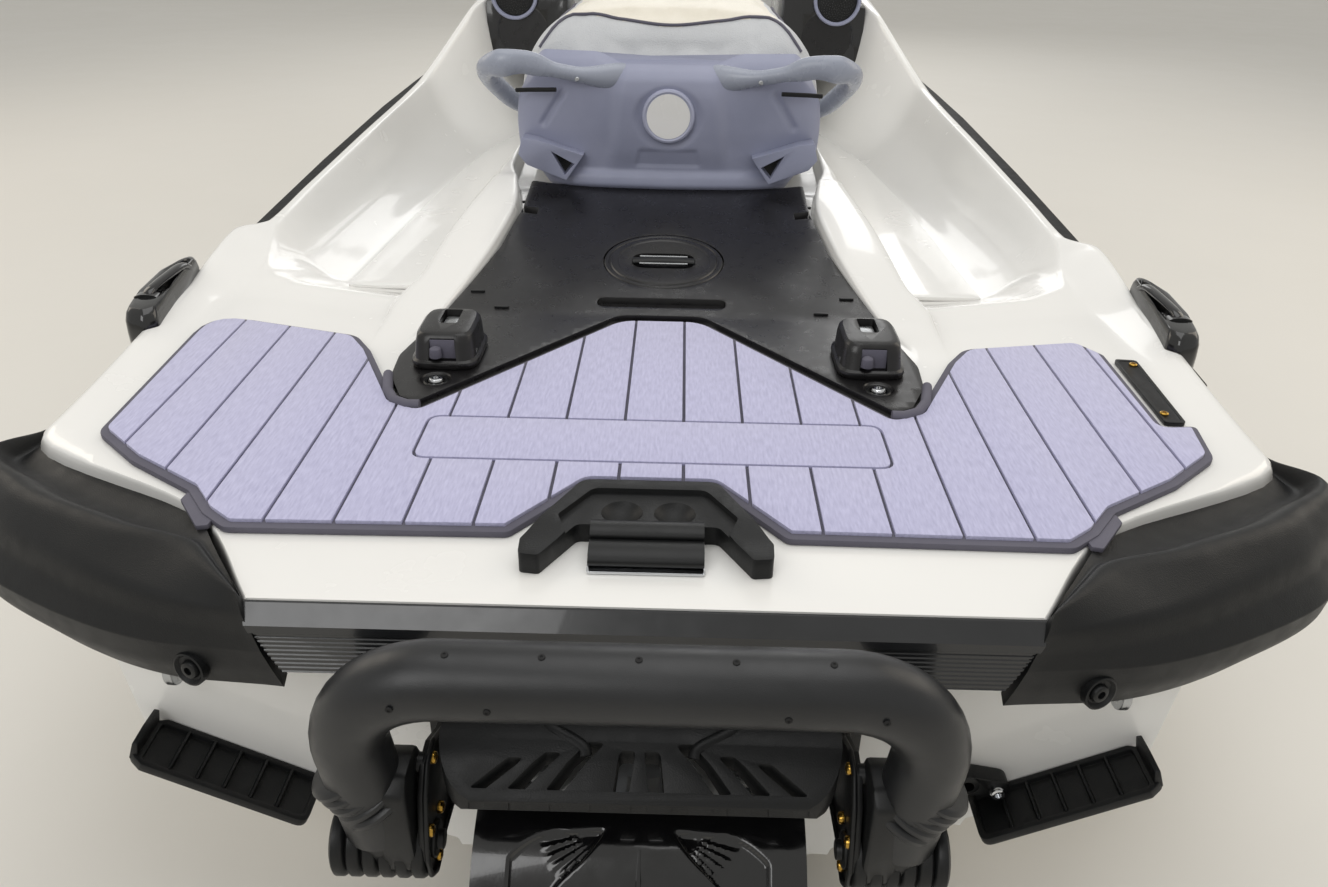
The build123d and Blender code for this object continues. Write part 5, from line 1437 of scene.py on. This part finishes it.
def on_plate(x, p, lift=0.0):
    """A place on the plate, or lift above it square to its slope."""
    return Vector((x, p, plate_z(p) + PLATE_T)) + slope * lift


CAP_P, SLOT_P = 700.3, 582.5
cap_hole = Shape().turned(on_plate(0, CAP_P, -30), slope, [(0, 81), (60, 81)], 64)
slot_line = fillet([(-80, SLOT_P - 12, 11), (80, SLOT_P - 12, 11), (80, SLOT_P + 12, 11),
                    (-80, SLOT_P + 12, 11)])
slot = Shape().prism(slot_line, plate_z(SLOT_P) + 4, 260)
BOLT = (234, 362)        # x and p of the tie-down bolts
bowls = Shape()
for side in (-1, 1):
    bowls.turned((side * BOLT[0], BOLT[1], 190 + PLATE_T + 0.5), (0, 0, -1),
                 [(0, 17), (2, 15.5), (5, 9), (5, 0.01)], 28)
    x = side * 197
    bowls.prism([(x - 11, 834), (x + 11, 834), (x + 11, 856), (x - 11, 856)], plate_z(845) + 3, 300)
piece(plate, "plate_moulding", plate_mat, "hull", "plate_black", "centre_plate", edge=1.6, turn_sharp=35,
      keep=Shape().prism(plate_line, 150, 300), cuts=[cap_hole, slot, bowls])

ring = Shape().turned(on_plate(0, CAP_P, -10), slope,
                      [(0, 0.01), (0, 79.4), (9, 79.4), (10.4, 78), (10.4, 74), (9.2, 72.8), (9.2, 71.4),
                       (10.8, 70.2), (10.8, 62), (9.6, 60), (9.6, 0.01)], 72)
dish = Shape().prism(fillet([(-42, CAP_P - 22, 20), (42, CAP_P - 22, 20), (42, CAP_P + 22, 20),
                             (-42, CAP_P + 22, 20)]),
                     208, 300)
piece(ring, "cap_disc", plate_mat, "hull", "plate_black", "deck_cap", cuts=[dish], edge=0.8)
bar = Shape()
bar.sweep([(x, CAP_P, plate_z(CAP_P) + PLATE_T - 1.5 + 1.5 * math.cos(x / 26)) for x in spaced(-41, 41, 4)],
          (8.0, 4.5), 20)
piece(bar, "cap_bar", satin, "hull", "plate_black")
floor_of_dish = Shape().turned(on_plate(0, CAP_P, -9), slope, [(0, 0.01), (0, 46), (1.5, 46), (1.5, 0.01)],
                               32)
piece(floor_of_dish, "cap_dish_floor", satin, "hull", "plate_black")
rim = Shape()
for edge_p in (-10.5, 10.5):
    rim.sweep([(x, CAP_P + edge_p, plate_z(CAP_P + edge_p) + PLATE_T + 0.6) for x in spaced(-32, 32, 8)], 1.1,
              8)
piece(rim, "cap_bar_edges", steel, "hull", "jet_steel")

# %% [markdown]
# Each cargo post is a rounded tower: broad foot, cheeks that lean in, a slot across its top and a
# grey window in its rear face. Level rings of rounded rectangles follow its height better than a
# bevelled box would, and the openings are carved from them.

# %% Cargo posts
POST_X, POST_P, POST_Z = 231.0, 428.0, 201.6     # middle of the foot, on the plate's top


def tower(shape, x, p, z0, rows, power=5):
    """Rings of rounded rectangles: rows hold height, half-breadth, half-length and shift ahead."""
    rings = []
    for dz, a, b, shift in rows:
        ring = []
        for k in range(48):
            t = 2 * math.pi * k / 48
            c, s = math.cos(t), math.sin(t)
            r = (abs(c) ** power + abs(s) ** power) ** (-1 / power)
            ring.append((x + a * c * r, p + b * s * r + shift, z0 + dz))
        rings.append(ring)
    return shape.skin(rings)


posts, cuts_of_posts, windows = Shape(), Shape(), Shape()
for side in (-1, 1):
    x = side * POST_X
    tower(posts, x, POST_P, POST_Z, [(0, 36, 45, 0), (4, 37, 46, 0), (7, 36.4, 45.5, 0), (9, 33.5, 43, 0),
                                     (26, 32, 41, 2), (33, 30.5, 39, 3), (36.5, 27, 36, 3),
                                     (37.4, 21, 30, 3)])
    cuts_of_posts.prism(fillet([(x - 10, POST_P - 4, 4), (x + 10, POST_P - 4, 4), (x + 10, POST_P + 36, 4),
                                (x - 10, POST_P + 36, 4)]), POST_Z + 14, POST_Z + 90)
    back = [(x - 15, POST_Z + 9), (x + 15, POST_Z + 9), (x + 13, POST_Z + 32), (x - 13, POST_Z + 32)]
    cuts_of_posts.skin([[(u, q, w) for u, w in back] for q in (POST_P - 60, POST_P - 36)])
    windows.across([(POST_P - 38, POST_Z + 10), (POST_P - 37, POST_Z + 31), (POST_P - 30, POST_Z + 31),
                    (POST_P - 30, POST_Z + 10)], x - 14, x + 14)
    windows.turned((x - 7, POST_P - 41, POST_Z + 13), (0, 0, 1), [(0, 0.01), (0, 7), (10, 6), (13, 0.01)], 20)
piece(posts, "post_towers", plate_mat, "hull", "black_plastic", "cargo_posts", cuts=[cuts_of_posts], edge=1.8)
piece(windows, "post_windows", seam_foam, "hull", "black_plastic", edge=0.8)
latches = Shape()
for side in (-1, 1):
    x = side * POST_X
    latches.prism(fillet([(x - 8, POST_P + 6, 4), (x + 8, POST_P + 6, 4), (x + 8, POST_P + 30, 4),
                          (x - 8, POST_P + 30, 4)]),
                  POST_Z + 12, POST_Z + 31)
    for k in (-1, 1):
        latches.sweep([(x + k * 31, POST_P - 22, POST_Z + 10), (x + k * 30, POST_P + 16, POST_Z + 13)],
                      (2.5, 7), 12)
piece(latches, "post_latches", steel, "hull", "black_plastic", edge=0.8)
collars = Shape()
for side in (-1, 1):
    collars.turned((side * BOLT[0], BOLT[1], 196.6), (0, 0, 1),
                   [(0, 13.5), (2, 13.5), (3, 12), (2.4, 9.5), (0, 9.5)], 28)
piece(collars, "tie_down_seats", satin, "hull", "black_plastic")

# %% [markdown]
# The tow bracket is a low cast arch with a stepped recess, two finger bowls, a rolled lip and a
# strip of polished metal under the lip. A slab with a gently rising top is kept inside the arch's
# outline, because that rounds the corners in plan and leaves the top free to slope.

# %% Tow bracket
arch_line = fillet([(-100, 40, 5), (-84, 38, 4), (-58, 84, 8), (58, 84, 8), (84, 38, 4), (100, 40, 5),
                    (101, 60, 6), (58, 146, 14), (-58, 146, 14), (-101, 60, 6)])
tow = grid(-110, 110, 30, 155, lambda x, p: 190.4, lambda x, p: 209 + 4 * smooth((p - 60) / 30), 8)
step_line = fillet([(-62, 60, 4), (62, 60, 4), (74, 90, 6), (48, 132, 12), (-48, 132, 12), (-74, 90, 6)])
bowls = Shape()
for side in (-1, 1):
    bowls.turned((side * 22, 104, 215), (0, 0.25, -1), [(0, 20), (6, 18.5), (12, 13), (15, 6), (15.6, 0.01)],
                 32)
piece(tow, "tow_arch", grained, "hull", "black_plastic", "tow_bracket", edge=1.8,
      keep=Shape().prism(arch_line, 150, 260), cuts=[Shape().prism(step_line, 207.6, 260), bowls])
lip = Shape()
lip.sweep([(x, 78, 207) for x in spaced(-46, 46, 6)], (11, 6.2), 24)
lip.sweep([(x, 58, 199) for x in spaced(-46, 46, 6)], (16, 8.0), 24)
piece(lip, "tow_lip", satin, "hull", "black_plastic", turn_sharp=50)
strip = Shape().prism(fillet([(-47, 39.5, 3), (47, 39.5, 3), (47, 52, 3), (-47, 52, 3)]), 190.6, 193)
piece(strip, "tow_strip", chrome, "hull", "jet_steel", edge=0.6)

# %% [markdown]
# Small platform parts: chrome tie-down bolts in the plate's bowls, a bare plate held by two brass
# screws, recessed screws of the bumpers, strap tabs, and foam wraps round the plate's legs. They
# are prisms and sweeps set down on the surfaces that carry them.

# %% Small platform parts
fasteners("tie_down_bolts", [((side * BOLT[0], BOLT[1], 196.4), (0, 0, 1)) for side in (-1, 1)], chrome,
          "hull", 8, 6, 3.4)
fasteners("badge_screws", [((523, 332, 194.6), (0, 0, 1)), ((537, 452, 194.6), (0, 0, 1))], brass, "hull",
          4.5, 2.2, 1.6)
fasteners("bumper_screws", [((side * 352, -5, 124), (side * 0.35, -1, 0.1)) for side in (-1, 1)], satin,
          "hull", 8, 6, 3.5)
wells = Shape()
for side in (-1, 1):
    wells.turned((side * 352, -3, 124), (side * 0.35, -1, 0.1),
                 [(0, 14.5), (6.5, 14.5), (7, 13), (4, 10.5), (3, 0.01)], 32)
piece(wells, "bumper_screw_seats", grained, "hull", "black_plastic")
tabs = Shape()
for side in (-1, 1):
    for x, p in ((244, 470), (196, 560), (205, 880), (232, 600)):
        tabs.prism(fillet([(side * x - 9, p, 2), (side * x + 9, p, 2), (side * x + 9, p + 5, 2),
                           (side * x - 9, p + 5, 2)]),
                   plate_z(p) + PLATE_T - 1, plate_z(p) + PLATE_T + 2.4)
piece(tabs, "strap_tabs", satin, "hull", "plate_black", edge=0.6)
wraps = Shape()
for side in (-1, 1):
    wraps.sweep([(side * x, p, 199)
                 for x, p in ((238, 303), (250, 303), (266, 312), (278, 334), (285, 362), (287, 372))],
                (5.5, 6.5), 16)
piece(wraps, "leg_wraps", seam_foam, "hull", "black_plastic", turn_sharp=60)
corner_tabs = Shape()
for side in (-1, 1):
    tab = [(404, 126, 2), (403, 137, 2), (396, 140, 2), (364, 99, 2), (365, 88, 2), (374, 86, 2)]
    corner_tabs.prism(fillet([(side * x, p, r) for x, p, r in (tab if side > 0 else tab[::-1])]), 190.3, 195)
piece(corner_tabs, "mat_corner_tabs", seam_foam, "hull", "mat_foam", edge=0.8)
badge = Shape().prism(fillet([(516.6, 312.6, 5), (538, 312.6, 5), (545.4, 465, 5), (521, 467.4, 5)]), 190.5,
                      195)
badge_cut = Shape().prism(fillet([(519.6, 316, 4), (535, 316, 4), (541.4, 461.6, 4), (524, 463, 4)]), 194.2,
                          197)
piece(badge, "badge_blank", satin, "hull", "black_plastic", "badge_plate", cuts=[badge_cut], edge=0.5)

# %% [markdown]
# Mooring cleats sit on the gunwales: a boat-shaped pod with a dished top, and a pull-up arm that
# lies in the dish. Level rings of one outline, drawn in as they rise, give the pod its soft
# shoulders, and the same outline made smaller carves the dish.

# %% Mooring cleats
cleats, dishes, arms = Shape(), Shape(), Shape()
for side in (-1, 1):
    pod = [(594, 470, 10), (621, 476, 16), (632, 530, 50), (630, 594, 40), (614, 656, 16), (600, 644, 12),
           (592, 550, 60), (584, 484, 10)]
    line = fillet([(side * x, p, r) for x, p, r in (pod if side > 0 else pod[::-1])])

    def ring_at(z, shrink, aft=0.5):
        """The outline at height z, drawn in across by shrink and by less along the craft."""
        return [(side * 608 + (x - side * 608) * shrink, 582 + (p - 582) * (1 - (1 - shrink) * aft),
                 z + 9 * smooth((p - 480) / 150) - 5 * smooth((p - 640) / 60)) for x, p in line]
    cleats.skin([ring_at(180, 1.0), ring_at(194, 1.0), ring_at(208, 0.98), ring_at(217, 0.9),
                 ring_at(222, 0.78), ring_at(223, 0.6)])
    dishes.skin([[(side * 606 + (x - side * 608) * s, 596 + (p - 582) * t, z + 9 * smooth((p - 480) / 150))
                  for x, p in line] for z, s, t in ((210, 0.2, 0.36), (218, 0.42, 0.5), (236, 0.62, 0.6))])
    arms.sweep(bowed([(side * x, p, z)
                      for x, p, z in ((611, 520, 222), (609, 530, 228), (605, 566, 232), (602, 600, 233),
                                                       (602, 614, 227))], 6), (7, 4), 16)
    arms.sweep([(side * 610, 516, 223), (side * 610, 528, 223)], (14, 4), 16)
piece(cleats, "cleat_pods", gloss, "hull", "black_plastic", "cleats", cuts=[dishes], edge=1.0)
piece(arms, "cleat_arms", gloss, "hull", "black_plastic", turn_sharp=60)

# %% [markdown]
# Footwell floors are set in as separate pads. They are as pale as the walls, so they take the
# gelcoat's white. A thin black strip near the rear of each is painted shadow for the gap at the
# pad's rear edge. The pads follow the floor's own table.

# %% Footwell floors
pads = Shape()
for side in (-1, 1):
    rings = []
    for p in spaced(772, 1763, 18):
        inner, floor, floor_out = WELL.at(p)[:3]
        a, b = inner + 24, floor_out - 8
        rings.append([(side * x, p, z)
                      for x, z in ((a, floor + 0.5), (b, floor + 0.5), (b, floor + 7.2), (a, floor + 7.2))])
    pads.skin(rings)
piece(pads, "footwell_pads", gelcoat, "hull", "deck_gelcoat", "footwell_mats", edge=2.0)
# A thin black strip near each floor's rear edge: painted shadow, standing in for the shade in the gap there
shadow_strips = Shape()
for side in (-1, 1):
    shadow_line = [(side * x, p, WELL.at(p)[1] + 0.4)
                 for x, p in ((337, 717), (372, 730), (410, 756), (446, 778))]
    shadow_strips.sweep(shadow_line, (2.4, 0.7), 8)
piece(shadow_strips, "footwell_slits", rubber, "hull", "black_plastic")
print("platform parts done")


# %% [markdown]
# Boarding steps are cast trays with a raised rim, five grip ribs and a turned-up outer end. They
# are drawn level, which keeps their numbers simple, then tilted as they sit against the hull.

# %% Boarding steps and flushing port
def placed(shape, side, x, p, z, tilt_deg):
    """Turns a level shape round the fore-and-aft axis and puts it at (x, p, z); side mirrors it."""
    a = math.radians(tilt_deg)
    shape.points = [(side * (x + u * math.cos(a) + w * math.sin(a)), p + q,
                     z - u * math.sin(a) + w * math.cos(a))
                    for u, q, w in shape.points]
    if side < 0:
        shape.faces = [tuple(reversed(face)) for face in shape.faces]
    return shape


TRAY = (380, 51.5, -52, -27)     # x, p and z of its middle, and its tilt
RIBS = 5
trays = []
for side in (-1, 1):
    solid = placed(Shape().prism(fillet([(-82, -27, 10), (70, -27, 4), (82, -20, 8), (82, 20, 8),
                                         (70, 27.5, 4), (-82, 27.5, 4)]), -5, 4), side, *TRAY)
    hollow = placed(Shape().prism(fillet([(-76, -21, 6), (72, -21, 4), (72, 22, 4), (-76, 22, 4)]), -1, 20),
                    side, *TRAY)
    tray = carve(linked("tray", solid), hollow)
    extra = Shape()
    for k in range(RIBS):
        u = -76 + 148 * (k + 1) / (RIBS + 1)
        extra.skin([[(u - 2.4, q, w), (u + 2.4, q, w), (u + 1.2, q, w + 6.4), (u - 1.2, q, w + 6.4)]
                    for q, w in ((-22, -1.5), (23, -1.5))])
    extra.skin([[(74, q, -4), (82.4, q, -3), (84.4, q, 20 - abs(q) * 0.2), (79.5, q, 21 - abs(q) * 0.2)]
                for q in spaced(-20, 24, 6)])
    trays += [tray.data, placed(extra, side, *TRAY).mesh("ribs")]
    bpy.data.objects.remove(tray)
piece(joined("steps", trays), "step_trays", grained, "hull", "black_plastic", "boarding_steps", edge=1.0)

# Flushing port: an oval boss beside the starboard bracket, with a ring and one chrome bolt
port = Shape().skin([[(x, q, z)
                      for x, z in fillet([(278, -66, 12), (334, -74, 10), (338, -52, 10), (284, -42, 12)])]
                     for q in (79.6, 62)])
eye = Shape().turned((297, 66, -56), (0, -1, 0), [(-6, 11), (5, 11), (6, 9.5), (6, 6), (-6, 5)], 24)
piece(port, "flush_port", satin, "hull", "black_plastic", edge=3, cuts=[
    Shape().turned((297, 90, -56), (0, -1, 0), [(0, 8), (40, 8)], 24)])
piece(eye, "flush_port_ring", satin, "hull", "black_plastic")
fasteners("flush_port_bolts", [((325, 61, -62), (0, -1, 0.1))], chrome, "hull", 7, 5, 3)

# %% [markdown]
# Panels beside the driver's seat carry the speakers. Each speaker is a grey ring round a domed
# black grille of bored sheet. Its holes are a spiral of glossy dots, because dots set on the
# surface read as holes at this size and cost far less than boring the sheet.

# %% Speakers
SPEAKER_X, SPEAKER_P, SPEAKER_Z = 350.0, 1790.7, 436.0
LEAN = (0, -1, 0.115)            # the way out of the leaning panel
GOLDEN = 2.39996                 # radians from one hole of the spiral to the next
speaker_rings = Shape()
for side in (-1, 1):
    speaker_rings.turned((side * SPEAKER_X, SPEAKER_P, SPEAKER_Z), LEAN,
                         [(0, 51), (9, 51), (11, 49), (11, 45.5), (9, 44), (2, 43), (0, 43)], 56)
piece(speaker_rings, "speaker_rings", tail_grey, "hull", "grey_plastic", "speakers")
grille = Shape()
for side in (-1, 1):
    grille.turned((side * SPEAKER_X, SPEAKER_P + 2, SPEAKER_Z), LEAN,
                  [(0, 44), (4, 44), (6.5, 30), (7.6, 12), (8, 0.01)], 56)
    grille.turned((side * SPEAKER_X, SPEAKER_P - 5, SPEAKER_Z), LEAN, [(0, 7), (0.9, 6.5), (1.2, 0.01)], 28)
plug = Shape()
for side in (-1, 1):
    plug.turned((side * 332, 1782.2, 362), LEAN, [(-8, 0.01), (-8, 53), (0, 54), (0.8, 53), (0.8, 0.01)], 56)
piece(plug, "side_panel_blanks", plate_mat, "hull", "plate_black")
piece(grille, "speaker_grilles", satin, "hull", "black_plastic")
dots = []
for side in (-1, 1):
    for k in range(170):
        r = 3.05 * math.sqrt(k + 4)
        a = k * GOLDEN
        lift = SPEAKER_P - 6.4 + (r / 44) ** 2 * 3.6 + 0.115 * r * math.sin(a)
        dots.append(((side * SPEAKER_X + r * math.cos(a), lift, SPEAKER_Z + r * math.sin(a)), (0, -1, 0)))
fasteners("speaker_holes", dots, gloss, "hull", 1.15, 0.5, 0.5)
print("steps, port and speakers done")

# %% [markdown]
# Steering is a bent steel bar with ribbed rubber grips, two levers, two switch pods and a soft
# centre pad. It stands on a column that leans back, so its places are given in the column's own
# directions and turned to the craft's by one function.

# %% Steering
HEAD = column + tilt * 215


def steer(x, y, z):
    """A place in the steering head's own directions: across, ahead, and up the column."""
    forward = Vector((0, math.cos(COLUMN_LEAN), math.sin(COLUMN_LEAN)))
    return HEAD + Vector((x, 0, 0)) + forward * y + tilt * z


def squarish(a, b, power, sides):
    """(u, w) points round a rounded rectangle with half-sides a and b; a power of 1 is an ellipse."""
    out = []
    for k in range(sides):
        t = 2 * math.pi * k / sides
        c, s = math.cos(t), math.sin(t)
        out.append((a * math.copysign(abs(c) ** power, c), b * math.copysign(abs(s) ** power, s)))
    return out


BAR = [(-400, -92, 14), (-150, -14, 26), (-82, 0, 0), (82, 0, 0), (150, -14, 26), (400, -92, 14)]
line = [Vector(BAR[0])]
for a, b, c in zip(BAR, BAR[1:], BAR[2:]):
    line += [Vector(q) for q in bend(a, b, c, 26, 8)]
line.append(Vector(BAR[-1]))
bar = Shape().sweep([steer(*q) for q in line], 12.5, 24)
bar.turned(column - tilt * 60, tilt, [(0, 23.6), (262, 23.6), (262, 0.01), (0, 0.01)], 32)
bar.turned(column + tilt * 10.4, tilt, [(0, 30), (2, 37), (14, 38), (17.6, 34), (17.6, 24), (0, 24)], 40)
piece(bar, "steering_bar", coated, "steering", "dark_metal", "handlebar", turn_sharp=45)
grips, levers, switch_pods = Shape(), Shape(), Shape()
for side in (-1, 1):
    end, inner = steer(side * 400, -92, 14), steer(side * 150, -14, 26)
    way = (inner - end).normalized()
    ribs = [(0, 0.01), (0, 15), (2, 20.5), (5, 21), (7, 17)]
    d = 9
    while d < 104:
        ribs += [(d, 16.6), (d + 1, 17.6), (d + 3.4, 17.6), (d + 4.4, 16.6)]
        d += 6.2
    ribs += [(108, 17.5), (112, 21.5), (118, 22), (122, 19), (124, 12.7)]
    grips.turned(end + way * -7, way, ribs, 28)
    switch_pods.turned(end + way * 122, way, [(0, 12.7), (2, 21), (26, 23), (40, 20), (44, 12.7)], 28)
    lever = [steer(side * u, v, w)
             for u, v, w in ((250, -22, 18), (272, 2, 16), (300, 4, 14), (350, -22, 12), (392, -48, 10))]
    lever_path = bowed(lever, 8)
    levers.sweep(lever_path, [(7.5 - 2.5 * k / 40, 5.0) for k in range(len(lever_path))], 14)
piece(grips, "ribbed_grips", rubber, "steering", "grip_rubber", "grips", turn_sharp=30)
piece(switch_pods, "switch_pods", satin, "steering", "black_plastic")
piece(levers, "hand_levers", satin, "steering", "black_plastic", turn_sharp=60)
rings = []
for w, a, b, r in ((14, 62, 45, 4), (16, 65, 48, 4), (34, 74, 59, 4), (40, 72, 57, 3.5), (50, 60, 47, 3),
                   (53.5, 52, 40, 2.8), (54.5, 38, 28, 2.5)):
    rings.append([steer(u, v, w) for u, v in squarish(a, b, 2 / r, 64)])
piece(Shape().skin(rings), "bar_pad", pad_grey, "steering", "black_plastic", "steering_pad", turn_sharp=50)

# %% [markdown]
# The gauge is a hooded binnacle with a bare dark screen, and the mirrors are two rounded pods
# whose rear faces are mirror glass. Neither shows in the photo, so both keep to the plain shapes
# of their kind: a profile drawn across the craft, and rings of rounded rectangles.

# %% Gauge and mirrors
hood_line = rolled([(2416, 574), (2416, 668), (2462, 700), (2530, 644), (2530, 574)], [14, 30, 24], 6)
hood_plan = fillet([(-118, 2416, 26), (118, 2416, 26), (96, 2530, 30), (-96, 2530, 30)], 8)
screen = Shape().skin([[(x, 2419.6 + (z - 668) * 1.43 + d * -0.57, z + d * 0.82)
                        for x, z in ((-92, 671), (92, 671), (84, 692), (-84, 692))] for d in (-3, 30)])
piece(Shape().across(hood_line, -118, 118), "gauge_hood", grained, "hull", "plate_black", "gauge", edge=2.0,
      keep=Shape().prism(hood_plan, 500, 760), cuts=[screen])
MIRROR_X, MIRROR_P, MIRROR_Z = 385, 2449, 585    # middle of the glass
mirrors, glass = Shape(), Shape()
for side in (-1, 1):
    rings = []
    for q, a, b in ((2449, 60, 41), (2452, 64.5, 45), (2462, 66, 46.5), (2486, 63, 44), (2502, 52, 34),
                    (2509, 38, 22), (2511, 20, 10)):
        rings.append([(side * (MIRROR_X + u), q, MIRROR_Z + w + (q - MIRROR_P) * 0.05)
                      for u, w in squarish(a, b, 0.55, 56)])
    mirrors.skin(rings)
    mirrors.sweep([(side * 264, 2482, 530), (side * 292, 2481, 543), (side * 322, 2480, 560),
                   (side * 350, 2480, 572)],
                  [(20, 19), (17, 16), (15, 14), (15, 14)], 20)
    glass.skin([[(side * (MIRROR_X + u), q, MIRROR_Z + w) for u, w in squarish(57, 38, 0.55, 56)]
                for q in (2450, 2448.2)])
piece(mirrors, "mirror_pods", grained, "hull", "plate_black", "mirrors", turn_sharp=40)
piece(glass, "mirror_glass", chrome, "hull", "jet_steel")
print("steering, gauge and mirrors done")

# %% [markdown]
# Some solids are already the shape of the real piece and stay in view. Their triangles are
# welded and their edges rounded, as moulded and cast parts have them, because a knife-sharp edge
# catches no light. The rub rail also gets its glossy insert and a row of screws.

# %% Solids that stay, and the rub rail
for name, width in (("rub_rail", 3.0), ("side_panels", 1.5), ("sponsons", 3.0), ("pump_housing", 1.2),
                    ("nozzle", 1.2), ("ride_plate", 1.5), ("intake_grate", 1.0), ("bow_eye", 1.2),
                    ("stern_eyes", 1.2)):
    node = nodes[name]
    weld = node.modifiers.new("weld", "WELD")
    weld.merge_threshold = 0.00002
    soften(node, width, 2, 30)
    sharp(node, 35)
band = Shape()
for side in (-1, 1):
    rail_line = [(side * (UPPER.at(p)[0] + 19.6), p, bond(p) + 1.5) for p in spaced(470, 3320, 30)]
    band.sweep(rail_line, (1.6, 5.5), 8)
piece(band, "rub_rail_insert", trim_gloss, "hull", "rub_rubber", turn_sharp=60)
rail_screws = []
for side in (-1, 1):
    for p in spaced(520, 3250, 182):
        rail_screws.append(((side * (UPPER.at(p)[0] + 20.6), p, bond(p) + 1.5), (side, 0, 0)))
fasteners("rub_rail_screws", rail_screws, steel, "hull", 3.2, 1.2, 1.3)

# %% [markdown]
# The last cell prints the solids' box.

# %% Size
print("CAD box", [tuple(round(c, 4) for c in v) for v in CAD_BOX])
